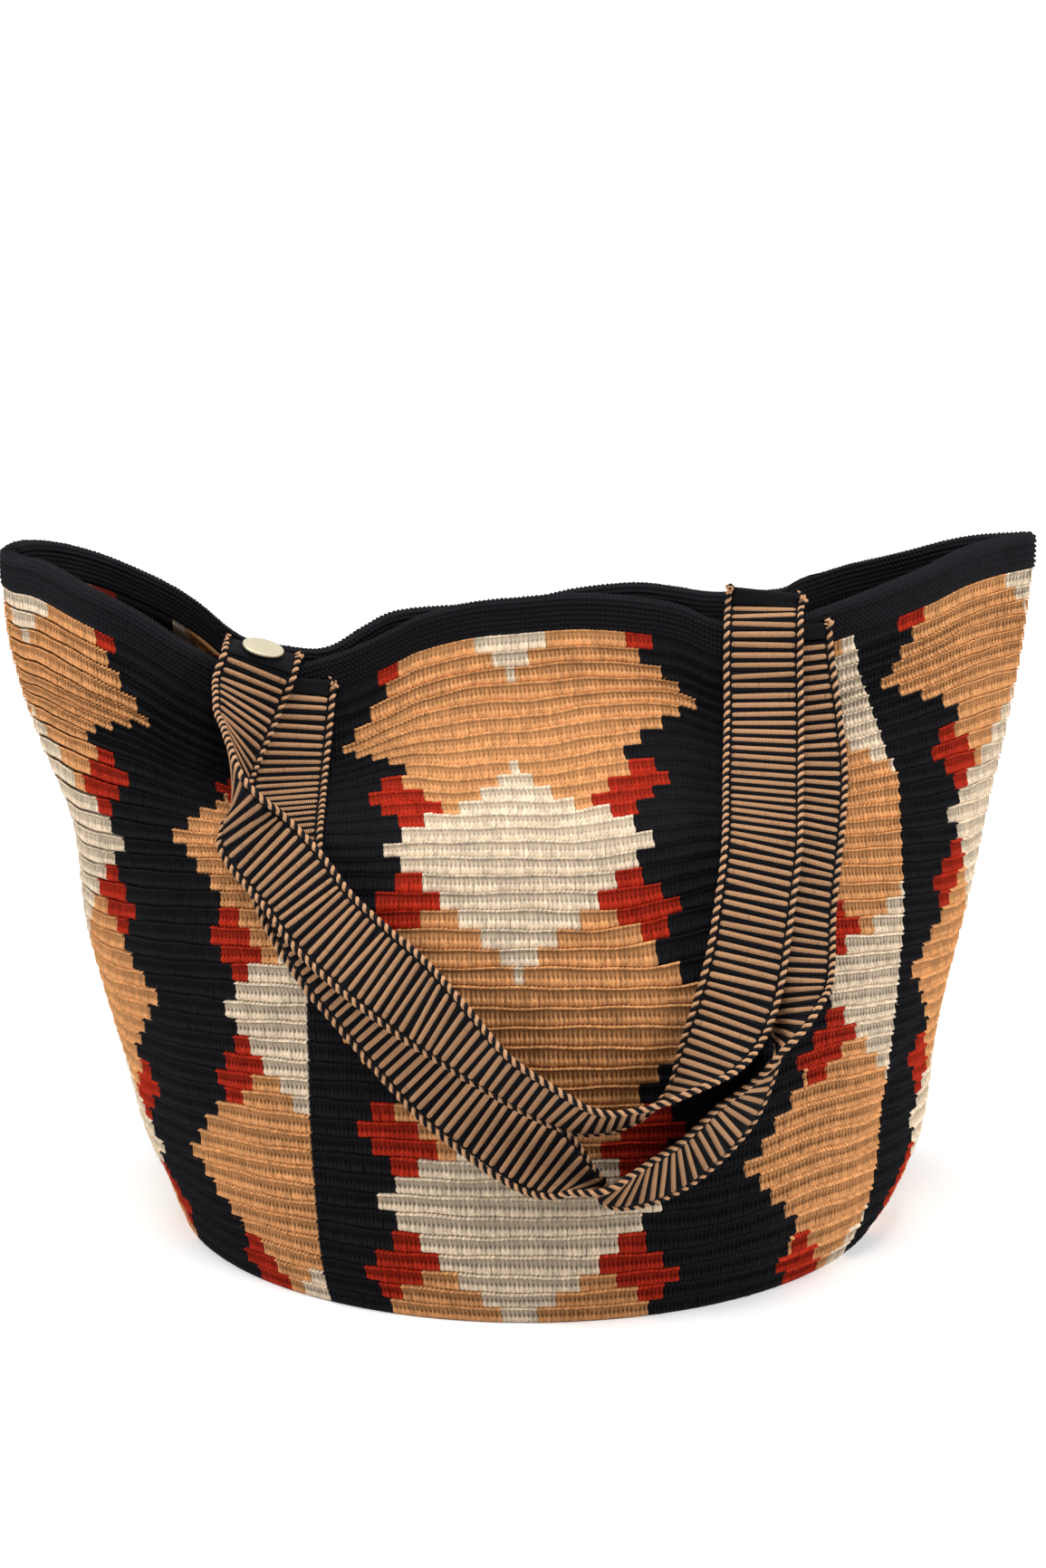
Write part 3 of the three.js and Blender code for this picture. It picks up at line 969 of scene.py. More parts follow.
class MeshParts:
    """Grids gathered into one mesh."""

    def __init__(self) -> None:
        """Start with no grids."""
        self.points: list[np.ndarray] = []
        self.faces: list[np.ndarray] = []
        self.uvs: list[np.ndarray] = []
        self.picks: list[np.ndarray] = []

    def add_grid(
        self,
        grid: np.ndarray,
        across: np.ndarray,
        along: np.ndarray,
        closed: bool,
        turn: float = 1.0,
        pick: int = 0,
    ) -> None:
        """Add a grid of points with its uvs.

        Args:
            grid: Points, one row after another.
            across: The uv number of each column of points.
            along: The uv number of each row of points.
            closed: True where each row is a ring.
            turn: What a ring adds to its first number at the seam.
            pick: Which material the faces take.
        """
        start = sum(len(p) for p in self.points)
        faces = grid_faces(grid.shape[0], grid.shape[1], closed)
        self.points.append(grid.reshape(-1, 3))
        self.faces.append(faces + start)
        self.uvs.append(grid_uvs(across, along, closed, turn))
        self.picks.append(np.full(len(faces), pick, np.int32))

    def build(self, name: str, *materials: bpy.types.Material) -> bpy.types.Object:
        """Make the object, smooth and at the origin.

        Args:
            name: Its name.
            *materials: Its materials, in the order of the picks.

        Returns:
            The object.
        """
        faces = np.concatenate(self.faces)
        obj = link_mesh(name, np.concatenate(self.points), [], faces.tolist())
        mesh = obj.data
        layer = mesh.uv_layers.new(name=UV_NAME)
        layer.data.foreach_set("uv", np.concatenate(self.uvs).astype(np.float32).ravel())
        mesh.polygons.foreach_set("use_smooth", np.ones(len(faces), bool))
        for each in materials:
            mesh.materials.append(each)
        mesh.polygons.foreach_set("material_index", np.concatenate(self.picks))
        weld(mesh)
        return obj


def stitch_places(
    points: np.ndarray, columns: np.ndarray, rows: np.ndarray, height: np.ndarray, rng: np.random.Generator
) -> dict[str, np.ndarray]:
    """Places for one stitch in every cell of a grid whose rows are rings.

    Args:
        points: Grid of points, with one ring more than there are rows of stitches.
        columns: The first uv number of each stitch in a row.
        rows: The second uv number of each row.
        height: Relief of each row, in millimetres.
        rng: Source of small differences.

    Returns:
        The arrays that set_on_points takes.
    """
    down = points[1:] - points[:-1]
    fall = unit(down)
    along = np.roll(points, -1, axis=1) - np.roll(points, 1, axis=1)
    across = along[1:] + along[:-1]
    across = unit(across - fall * np.sum(across * fall, axis=-1, keepdims=True))
    out = np.cross(fall, across)
    shape = down.shape[:2]
    width = np.linalg.norm(along[:-1], axis=-1) / 2
    relief = height[:, None] * (1 + rng.normal(0, RELIEF_SPREAD, shape))
    home = [np.broadcast_to(columns, shape), np.broadcast_to(rows[:, None], shape), np.zeros(shape)]
    return {
        "at": points[:-1].reshape(-1, 3),
        "out": out.reshape(-1, 3),
        "along": across.reshape(-1, 3),
        "reach": np.stack([width, np.linalg.norm(down, axis=-1), relief], axis=-1).reshape(-1, 3) * MM,
        "home": np.stack(home, axis=-1).reshape(-1, 3),
    }


def template(name: str, grid: np.ndarray, local: np.ndarray, closed: bool) -> bpy.types.Object:
    """A small unit mesh for set_on_points, given in units and with its own uv.

    Args:
        name: Its name.
        grid: Its points, one row after another.
        local: The uv of each point.
        closed: True where each row is a ring.

    Returns:
        The object.
    """
    faces = grid_faces(grid.shape[0], grid.shape[1], closed)
    obj = link_mesh(name, grid.reshape(-1, 3), [], faces.tolist())
    flat = local.reshape(-1, 2)
    carry(obj, local=np.column_stack([flat, np.zeros(len(flat))]))
    weld(obj.data)
    return obj


def discard(obj: bpy.types.Object) -> None:
    """Remove a template once its copies are made."""
    bpy.data.objects.remove(obj, do_unlink=True)


# Materials


@dataclass(frozen=True)
class Swell:
    """An amount that is largest at its centre and fades to nothing half_width away."""

    centre: float
    half_width: float
    amount: float

    def at(self, place: Value) -> Value:
        """The amount at one place."""
        return place.hump(self.centre, self.half_width) * self.amount


# How far the pattern moves along the rows, over the column.
FRONT_SHIFTS = (
    Swell(0.0, 13.0, 0.45),
    Swell(COLUMNS, 13.0, 0.45),
    Swell(COLUMNS - 9.0, 9.0, 0.85),
    Swell(9.0, 8.0, -0.35),
)
RIGHT_SHIFT = Swell(35.0, 12.0, 1.7)
LEFT_SHIFT = Swell(COLUMNS - 27.0, 15.0, -1.5)
CUT_SHIFT = Swell(22.0, 9.0, 3.6)


@dataclass(frozen=True)
class Diamonds:
    """The stepped diamonds, as masks over column and row."""

    shader: Shader
    cream_to_tan: float = 9.0
    tan_reach: float = 9.75
    cream_reach: float = 7.0
    cream_tip: float = 0.25
    motif_rows: tuple[float, float] = (2.5, 5.5)
    red_rows: tuple[float, float] = (1.5, 5.5)
    red_reach: float = 4.5
    red_slope: float = 0.9
    first_red_cut: float = 1.9
    last_red_cut: float = 1.6
    left_ease: Swell = Swell(7.0, 4.0, 0.8)
    cut_rows: float = 11.0
    half_spread: float = 0.8

    def _column(self, side: Value, row: Value) -> tuple[Value, Value, Value]:
        """Masks of tan, red and cream for one column of diamonds.

        Args:
            side: Distance from the column's centre line, in columns.
            row: Pattern row, with cream centres at whole periods.

        Returns:
            The three masks.
        """
        from_cream = row - (row / PATTERN_PERIOD).nearest() * PATTERN_PERIOD
        level = abs(from_cream)
        shifted = row - self.cream_to_tan
        from_tan = abs(shifted - (shifted / PATTERN_PERIOD).nearest() * PATTERN_PERIOD)
        motif_first, motif_last = self.motif_rows
        near_motif = (level > motif_first) * (level < motif_last)
        tan_width = (self.tan_reach - from_tan).at_least(near_motif * (level + 1.0))
        cream_width = self.cream_reach - level - (from_cream < -motif_first)
        cream_width = cream_width.at_least(self.cream_tip) * (cream_width > -0.5)
        red_first, red_last = self.red_rows
        first = (level > red_first) * (level < red_first + 1.0)
        last = (level > red_last - 1.0) * (level < red_last)
        red_low = level + 1.0 + first * self.first_red_cut
        red_high = self.red_reach + level * self.red_slope - last * self.last_red_cut
        red = (side > red_low) * (side < red_high) * (level > red_first) * (level < red_last)
        return side < tan_width, red, side < cream_width

    def paint(self, place: Value, level: Value) -> Arrow:
        """Yarn colour at one stitch of one row.

        Args:
            place: Column of the stitch.
            level: Row of the stitch.

        Returns:
            The colour.
        """
        row = level + float(FIRST_PATTERN_ROW)
        left = LEFT_SHIFT.at(place) * (1.0 - self.left_ease.at(level))
        place = sum((shift.at(place) for shift in FRONT_SHIFTS), place)
        place = place + RIGHT_SHIFT.at(place) + left
        place = place + CUT_SHIFT.at(place) * (1.0 - (level / self.cut_rows).at_most(1.0))
        full = abs(place - (place / PATTERN_REPEAT).nearest() * PATTERN_REPEAT)
        half = ((HALF_COLUMN_EDGE - place) / PATTERN_REPEAT).fract() * PATTERN_REPEAT
        tan_a, red_a, cream_a = self._column(full, row)
        tan_b = self._column(half - self.half_spread, row - HALF_COLUMN_SHIFT)[0]
        _, red_b, cream_b = self._column(half + self.half_spread, row - HALF_COLUMN_SHIFT)
        colour = self.shader.colour(Yarn.BLACK.value)
        colour = colour.toward(Yarn.TAN.value, tan_a.at_least(tan_b))
        colour = colour.toward(Yarn.RED.value, red_a.at_least(red_b))
        return colour.toward(Yarn.CREAM.value, cream_a.at_least(cream_b))


@dataclass(frozen=True)
class StitchMaterial:
    """Yarn of the outer stitches, one colour a stitch, with painted shade in its gaps and creases and a
    painted highlight on its ridge.
    """

    yarn: YarnFinish = YarnFinish()
    speck_share: float = 0.3
    fleck_share: float = 0.26
    patch_share: float = 0.3
    fibre_share: float = 0.66
    ply_share: float = 0.16

    def build(self) -> bpy.types.Material:
        """Make the material.

        Returns:
            The material.
        """
        s = Shader("stitch_yarn")
        column, row = s.coordinates()
        level = row.floor()
        inside = row - level
        stitch = column * float(STITCHES_PER_COLUMN)
        number = stitch.floor()
        colour = Diamonds(s).paint((number + 0.5) / float(STITCHES_PER_COLUMN), level)
        ply = (stitch * 3.0 + inside * 7.0).cosine() * 0.5 + 0.5
        speck = s.speckle(number, level)
        patches = s.noise(column * 0.35, row, 0.9)
        fibre = s.noise(column * 9.0, row * 6.0, 3.4, 3.0)
        rim = abs(stitch.fract() - 0.5).rise(0.1, 0.3)
        # Painted shade in the gap beside each post, painted shade at the ridge's foot and at the stitch's
        # lower end, and a painted highlight on the ridge's crest above it.
        painted_gap_shade = inside.rise(0.16, 0.24) * (1.0 - inside.rise(0.5, 0.66)) * (0.2 + rim * 0.65)
        painted_crease_shade_and_highlight = inside.hump(0.16, 0.07) * 0.45 + inside.rise(0.9, 0.97) * 0.35
        painted_crease_shade_and_highlight = painted_crease_shade_and_highlight - inside.hump(0.06, 0.06) * 0.15
        fleck = s.speckle((stitch * 2.0).floor(), (row * 4.0).floor())
        shade = 0.74 + speck * self.speck_share + fleck * self.fleck_share
        shade = shade * (0.82 + patches * self.patch_share)
        # The ply stripes add a painted shade between the plies; fibre, speck, fleck and patches vary the
        # tone at random.
        shade = shade * (0.6 + fibre * self.fibre_share + ply * self.ply_share)
        shade = shade * (1.0 - painted_gap_shade) * (1.0 - painted_crease_shade_and_highlight)
        return s.finish(colour * shade, ply * 0.6 + fibre * 1.4, self.yarn)


@dataclass(frozen=True)
class WallMaterial:
    """The wall behind the stitches and its inner side: the same pattern with flatter relief, and painted
    shade that dims the colour where the relief is low and all over by a set share.
    """

    name: str
    # Share of the colour that is kept: a painted shade, lower for the inner side.
    depth: float
    yarn: YarnFinish = YarnFinish()

    def build(self) -> bpy.types.Material:
        """Make the material.

        Returns:
            The material.
        """
        s = Shader(self.name)
        column, row = s.coordinates()
        level = row.floor()
        inside = row - level
        stitch = column * float(STITCHES_PER_COLUMN)
        number = stitch.floor()
        colour = Diamonds(s).paint((number + 0.5) / float(STITCHES_PER_COLUMN), level)
        post = (stitch + inside * 0.5).cosine() * 0.5 + 0.5
        band = inside.hump(0.5, 0.52)
        fibre = s.noise(column * 9.0, row * 6.0, 3.0, 3.0)
        height = band * (0.45 + post * 0.55)
        # Painted shade: darker where the relief is low, and dimmed all over by depth.
        shade = (0.6 + height) * (0.7 + fibre * 0.6) * self.depth
        return s.finish(colour * shade, height + fibre * 0.2, self.yarn)


@dataclass(frozen=True)
class KnitMaterial:
    """Fine black knit of the rim band, or rounds of the base."""

    name: str
    across: float
    along: float
    yarn: YarnFinish = YarnFinish(bump_depth=0.0004)

    def build(self) -> bpy.types.Material:
        """Make the material.

        Returns:
            The material.
        """
        s = Shader(self.name)
        column, row = s.coordinates()
        step = row * self.along
        stitch = column * self.across
        inside = step.fract()
        lean = abs(inside - 0.5)
        loop = (stitch + lean * 0.9).cosine() * 0.5 + 0.5
        height = inside.hump(0.5, 0.55) * (0.45 + loop * 0.55)
        fibre = s.noise(stitch * 2.0, step * 2.0, 2.4, 3.0)
        patches = s.noise(column * 0.4, row * 0.1, 1.0)
        # Painted shade: darker where the relief between the loops is low; fibre and patches vary the tone at
        # random.
        shade = (0.62 + height * 0.75) * (0.8 + fibre * 0.4) * (0.85 + patches * 0.3)
        return s.finish(s.colour(Yarn.BLACK.value) * shade, height + fibre * 0.25, self.yarn)


@dataclass(frozen=True)
class RibMaterial:
    """One colour of the strap's round ribs, with fine lengthwise threads."""

    name: str
    colour: Yarn
    threads: float = 34.0
    yarn: YarnFinish = YarnFinish(roughness=0.95, specular=0.06, bump_depth=0.0004)

    def build(self) -> bpy.types.Material:
        """Make the material.

        Returns:
            The material.
        """
        s = Shader(self.name)
        across, around = s.coordinates()
        pair = around.floor()
        thread = (across * self.threads + s.speckle(pair, pair)).cosine() * 0.5 + 0.5
        fibre = s.noise(across * 60.0, around * 9.0, 1.5, 3.0)
        nick = s.noise(across * 7.0, pair * 3.7, 2.2, 1.0).rise(0.6, 0.78)
        tone = s.speckle(pair, across.floor())
        # Painted shade: darker between the threads; fibre, nick and tone vary the colour at random.
        shade = (0.52 + thread * 0.5) * (0.64 + fibre * 0.72) * (1.0 - nick * 0.3) * (0.9 + tone * 0.2)
        return s.finish(s.colour(self.colour.value) * shade, thread * 0.6 + fibre * 0.4, self.yarn)


@dataclass(frozen=True)
class StrandMaterial:
    """Twisted thread of the edge cords and of the knots at their ends."""

    name: str
    colour: Yarn
    yarn: YarnFinish = YarnFinish(roughness=0.85, bump_depth=0.0003)

    def build(self) -> bpy.types.Material:
        """Make the material.

        Returns:
            The material.
        """
        s = Shader(self.name)
        coarse = s.grain(420.0)
        fibre = s.grain(2600.0, 3.0)
        shade = (0.84 + coarse * 0.32) * (0.8 + fibre * 0.4)
        return s.finish(s.colour(self.colour.value) * shade, fibre, self.yarn)


@dataclass(frozen=True)
class HemMaterial:
    """Tight black weave of the strap ends and of the web under the ribs."""

    yarn: YarnFinish = YarnFinish(roughness=0.85, bump_depth=0.0002)

    def build(self) -> bpy.types.Material:
        """Make the material.

        Returns:
            The material.
        """
        s = Shader("hem_weave")
        across, along = s.coordinates()
        weave = (across * 46.0).cosine() * (along * 9.0).cosine() * 0.5 + 0.5
        fibre = s.noise(across * 30.0, along * 8.0, 2.0, 3.0)
        # Painted shade: darker in the low parts of the weave.
        shade = (0.8 + weave * 0.3) * (0.8 + fibre * 0.4)
        return s.finish(s.colour(Yarn.STRAP_BLACK.value) * shade, weave + fibre * 0.5, self.yarn)


def metal_material(metal: MetalFinish) -> bpy.types.Material:
    """Pale brushed metal of the stud.

    Args:
        metal: Its colour and roughness.

    Returns:
        The finished material.
    """
    s = Shader("stud_metal")
    across, along = s.coordinates()
    brushed = s.noise(across * 2.0, along * 60.0, 1.5, 3.0)
    stain = s.noise(across * 3.0, along * 3.0, 1.2, 2.0)
    colour = s.colour(metal.colour) * (0.9 + stain * 0.2)
    rough = metal.roughness - metal.brushing / 2 + brushed * metal.brushing
    sockets = {"Base Color": colour, "Roughness": rough, "Metallic": metal.metallic}
    return s.close(s.principled(sockets))


# Body and rim


@dataclass
class BagBody:
    """Wall, its inner side and the round base in one piece, and the stitches that cover it."""

    surface: BagSurface
    columns: int = 264
    wall: float = 4.5
    base_inset: float = 0.955
    floor_height: float = 4.5
    base_rings: int = 34
    base_start: float = 0.93
    base_wave: float = 0.35
    floor_shrink: float = 0.985
    floor_gap: float = 0.2
    inner_step: float = 0.5
    inner_end: float = 38.6
    relief: float = 1.4
    edge_relief: float = 0.55
    stitch_lift: float = 0.1
    unevenness: float = 0.08
    backing: tuple[tuple[float, float], ...] = ((0.0, -0.6), (0.14, 0.0), (0.5, -0.3), (0.85, -0.1))
    bands: int = 4
    right_climb: float = 1.45
    left_climb: float = 1.25
    slow_waver: float = 0.05
    quick_waver: float = 0.03
    soft_depth: float = 0.55
    belly_depth: float = 1.7
    fold_depth: float = 1.9
    deepest: float = 2.8

    def _side(self, columns: np.ndarray) -> np.ndarray:
        """Columns counted from the front centre, negative to the left."""
        return (columns + COLUMNS / 2) % COLUMNS - COLUMNS / 2

    def _drift(self, rows: np.ndarray, columns: np.ndarray) -> np.ndarray:
        """How far each stitch sits from its even row: rounds of crochet wander up at both sides.

        Args:
            rows: Rows of the points.
            columns: Columns of the points.

        Returns:
            Rows to add at each point.
        """
        side = self._side(columns)
        level = rows[:, None]
        # Every number from here is in rows or columns: where a change begins and how far it takes.
        high = smoothstep(level / 8) * smoothstep((WALL_ROWS - level) / 7)
        start = 0.5 + 2.5 * smoothstep((level - 11) / 5) + 6 * smoothstep((level - 19) / 5)
        right = smoothstep((side - start) / 9) * smoothstep((62 - side) / 16)
        left = smoothstep((-side - 3) / 6) * smoothstep((58 + side) / 20)
        waver = self.slow_waver * np.sin(side * 0.43 + level * 1.7)
        waver = waver + self.quick_waver * np.sin(side * 1.9 - level * 2.9)
        waver = waver * smoothstep(level / 2) * smoothstep((WALL_ROWS - level) / 2)
        return waver - self.right_climb * high * right - self.left_climb * hump(level, 9, 5.5) * left

    def _frame(self, rows: np.ndarray, columns: np.ndarray) -> tuple[np.ndarray, np.ndarray]:
        """Points of the wall and directions out of it, for every row and column.

        Args:
            rows: Rows of the points.
            columns: Columns of the points.

        Returns:
            The points and the directions.
        """
        steps = 4
        fine = self.surface.grid(np.arange(WALL_ROWS * steps + 1) / steps, columns)
        at = np.clip(rows[:, None] + self._drift(rows, columns), 0, WALL_ROWS) * steps
        low = np.minimum(np.floor(at).astype(int), WALL_ROWS * steps - 1)
        part = (at - low)[..., None]
        place = np.arange(len(columns))[None]
        points = fine[low, place] * (1 - part) + fine[low + 1, place] * part
        points = points + self._outward(points) * self._dents(rows, columns)[..., None]
        return points, self._outward(points)

    def _outward(self, points: np.ndarray) -> np.ndarray:
        """Directions out of the wall on a grid of its points."""
        along = np.roll(points, -1, axis=1) - np.roll(points, 1, axis=1)
        return unit(np.cross(np.gradient(points, axis=0), along))

    def _dents(self, rows: np.ndarray, columns: np.ndarray) -> np.ndarray:
        """Shallow hollows of the soft wall, as negative millimetres.

        Args:
            rows: Rows of the points.
            columns: Columns of the points.

        Returns:
            The depth at each point.
        """
        side = self._side(columns)
        level = rows[:, None]
        turn = side * 2 * np.pi / 22
        waves = np.sin(turn * 3 + level * 0.24) * np.sin(level * 0.41 - turn)
        soft = -self.soft_depth * (1 + waves)
        belly = -self.belly_depth * hump(side, 7.5, 6) * hump(level, 19, 7)
        fold = -self.fold_depth * hump(side + (level - 29) * 0.55, 24, 2.2) * hump(level, 29.5, 6)
        edge = smoothstep(level / 3) * smoothstep((WALL_ROWS - level) / 4)
        return np.maximum(soft + belly + fold, -self.deepest) * edge

    def build_wall(
        self, wall: bpy.types.Material, base: bpy.types.Material, inside: bpy.types.Material
    ) -> bpy.types.Object:
        """Make the wall behind the stitches, the inner side and the base.

        Args:
            wall: Material of the wall.
            base: Material of the base.
            inside: Material of the inner side.

        Returns:
            The finished piece.
        """
        columns = np.arange(self.columns) / self.columns * COLUMNS
        rows = [row + part for row in range(WALL_ROWS) for part, _ in self.backing]
        lifts = [lift for _ in range(WALL_ROWS) for _, lift in self.backing]
        rows = np.array([*rows, float(WALL_ROWS)])
        lifts = np.array([*lifts, 0.0])
        smooth, normal = self._frame(rows, columns)
        outer = smooth + normal * lifts[:, None, None]
        outer[..., 2] = np.maximum(outer[..., 2], self.floor_gap)
        inner_rows = np.append(np.arange(0.0, WALL_ROWS - 1.5, self.inner_step), self.inner_end)
        inner = np.stack([self.surface.inner(float(r), self.wall, columns) for r in inner_rows])
        foot = self.surface.around(self.surface.ring(float(WALL_ROWS)), columns)
        parts = MeshParts()
        turn = np.concatenate([inner[:1], outer])
        parts.add_grid(inner[::-1], columns, inner_rows[::-1], True, COLUMNS, 2)
        parts.add_grid(turn, columns, np.concatenate([[0.0], rows]), True, COLUMNS)
        shrink = np.concatenate([[1.0, self.base_inset], np.linspace(self.base_start, 0.0, self.base_rings)])
        under = self._base_disc(foot, shrink, 0.0, outer[-1])
        parts.add_grid(under, columns, np.arange(len(under), dtype=float), True, COLUMNS, 1)
        floor = self._base_disc(foot, shrink[1:] * self.floor_shrink, self.floor_height, inner[-1])[::-1]
        parts.add_grid(floor, columns, np.arange(len(floor), dtype=float), True, COLUMNS, 1)
        return parts.build("tote_wall", wall, base, inside)

    def _base_disc(
        self, foot: np.ndarray, shrink: np.ndarray, height: float, edge: np.ndarray
    ) -> np.ndarray:
        """Ribbed rings of one side of the base, from its edge to the centre.

        Args:
            foot: The lowest ring of the wall.
            shrink: Size of each ring as a part of the foot's.
            height: How high this side lies.
            edge: The ring that it joins.

        Returns:
            The grid of points.
        """
        wave = self.base_wave * (1 + np.cos(np.arange(len(shrink)) * np.pi))
        disc = foot[None] * shrink[:, None, None]
        disc[..., 2] = height + wave[:, None] + self.floor_gap
        disc[-1] = disc[-1].mean(axis=0)
        disc[0] = edge
        return disc

    def _stitch_columns(self) -> np.ndarray:
        """The column at the middle of each stitch of a row."""
        return (np.arange(int(COLUMNS) * STITCHES_PER_COLUMN) + 0.5) / STITCHES_PER_COLUMN

    def _stitch_template(self) -> bpy.types.Object:
        """One stitch: a slanted ridge loop on top, a leaning post and the wide foot below.

        Returns:
            The template.
        """
        # Distance down the stitch, half width, height of its middle and of its edges, and lean.
        profile = (
            (-0.02, 0.52, -0.5, -0.6, 0.0),
            (0.06, 0.56, 1.0, 0.8, 0.0),
            (0.15, 0.42, 0.1, -0.3, 0.03),
            (0.38, 0.33, 0.45, -0.5, 0.12),
            (0.6, 0.47, 0.6, 0.1, 0.22),
            (0.8, 0.54, 0.85, 0.5, 0.27),
            (0.98, 0.5, -0.2, -0.6, 0.3),
        )
        grid = []
        local = []
        for y, half, middle, edge, lean in profile:
            tilt = 0.03 if y < 0.12 else 0.0
            grid.append([(lean - half, -y - tilt, edge), (lean, -y, middle), (lean + half, tilt - y, edge)])
            inside = min(max(y, 0.02), 0.98)
            local.append([(x / STITCHES_PER_COLUMN, inside) for x in (-0.3, 0.0, 0.3)])
        return template("one_stitch", np.array(grid) / MM, np.array(local), False)

    def build_fuzz(self, tree: PieceTree, material: bpy.types.Material) -> bpy.types.Object:
        """Loose fibres all over the wall.

        Args:
            tree: The tree of stitch_tree.
            material: Material of the yarn.

        Returns:
            The finished piece.
        """
        columns = self._stitch_columns()
        rows = np.arange(WALL_ROWS - 1, dtype=float)
        points, normal = self._frame(rows, columns)
        return Fuzz().build("wall_fuzz", tree, points + normal * self.relief * 0.5, columns, rows, material)

    def build_stitches(self, tree: PieceTree, material: bpy.types.Material) -> list[bpy.types.Object]:
        """Cover the wall with stitches, in a few bands of rows.

        Args:
            tree: The tree of stitch_tree.
            material: Material of the yarn.

        Returns:
            One piece for each band.
        """
        columns = self._stitch_columns()
        shape = self._stitch_template()
        points, normal = self._frame(np.arange(WALL_ROWS + 1, dtype=float), columns)
        uneven = np.random.default_rng(19).normal(0, self.unevenness, points.shape[:2])
        points = points + normal * (self.stitch_lift + uneven)[..., None]
        rng = np.random.default_rng(11)
        pieces = []
        for band in range(self.bands):
            first, last = (WALL_ROWS * k // self.bands for k in (band, band + 1))
            rows = np.arange(first, last, dtype=float)
            height = np.where((rows == 0) | (rows == WALL_ROWS - 1), self.edge_relief, 1.0) * self.relief
            places = stitch_places(points[first : last + 1], columns, rows, height, rng)
            values = {"Jitter": 0.035, "Seed": 5 + band, "Material": material}
            pieces.append(set_on_points(tree, f"crochet_rows_{band + 1}", shape, places, values))
        discard(shape)
        return pieces


@dataclass
class Fuzz:
    """Short loose fibres of the yarn."""

    length: float = 1.7
    width: float = 0.07
    count: int = 6500

    def _fibre(self) -> bpy.types.Object:
        """One curved fibre of unit length, along X.

        Returns:
            The template.
        """
        steps = np.linspace(0, 1, 5)
        thin = np.array([1.0, 0.9, 0.7, 0.45, 0.1])
        grid = [[(x, 0.5 * x * x, w), (x, 0.5 * x * x, -w)] for x, w in zip(steps, thin)]
        return template("one_fibre", np.array(grid) / MM, np.zeros((5, 2, 2)), False)

    def build(
        self,
        name: str,
        tree: PieceTree,
        points: np.ndarray,
        columns: np.ndarray,
        rows: np.ndarray,
        material: bpy.types.Material,
    ) -> bpy.types.Object:
        """Set fibres at random places of a grid whose rows are rings.

        Args:
            name: Name of the piece.
            tree: The tree of stitch_tree.
            points: Grid of points on the yarn.
            columns: The first uv number of each column of points.
            rows: The second uv number of each row of points.
            material: Material of the yarn.

        Returns:
            The finished piece.
        """
        rng = np.random.default_rng(41)
        row = rng.integers(0, len(rows) - 1, self.count)
        column = rng.integers(0, len(columns), self.count)
        part = rng.random(self.count)[:, None]
        at = points[row, column] * (1 - part) + points[row + 1, column] * part
        next_one = points[row, (column + 1) % len(columns)]
        out = unit(np.cross(points[row + 1, column] - points[row, column], next_one - points[row, column]))
        length = self.length * (0.5 + rng.random(self.count))
        places = {
            "at": at + out * 0.5,
            "out": unit(rng.normal(0, 1, (self.count, 3))),
            "along": unit(out + rng.normal(0, 0.55, (self.count, 3))),
            "reach": np.column_stack([length, length, np.full(self.count, self.width)]) * MM,
            "home": np.column_stack([columns[column], rows[row] + 0.5, np.zeros(self.count)]),
        }
        shape = self._fibre()
        piece = set_on_points(tree, name, shape, places, {"Jitter": 0.1, "Seed": 2, "Material": material})
        discard(shape)
        return piece


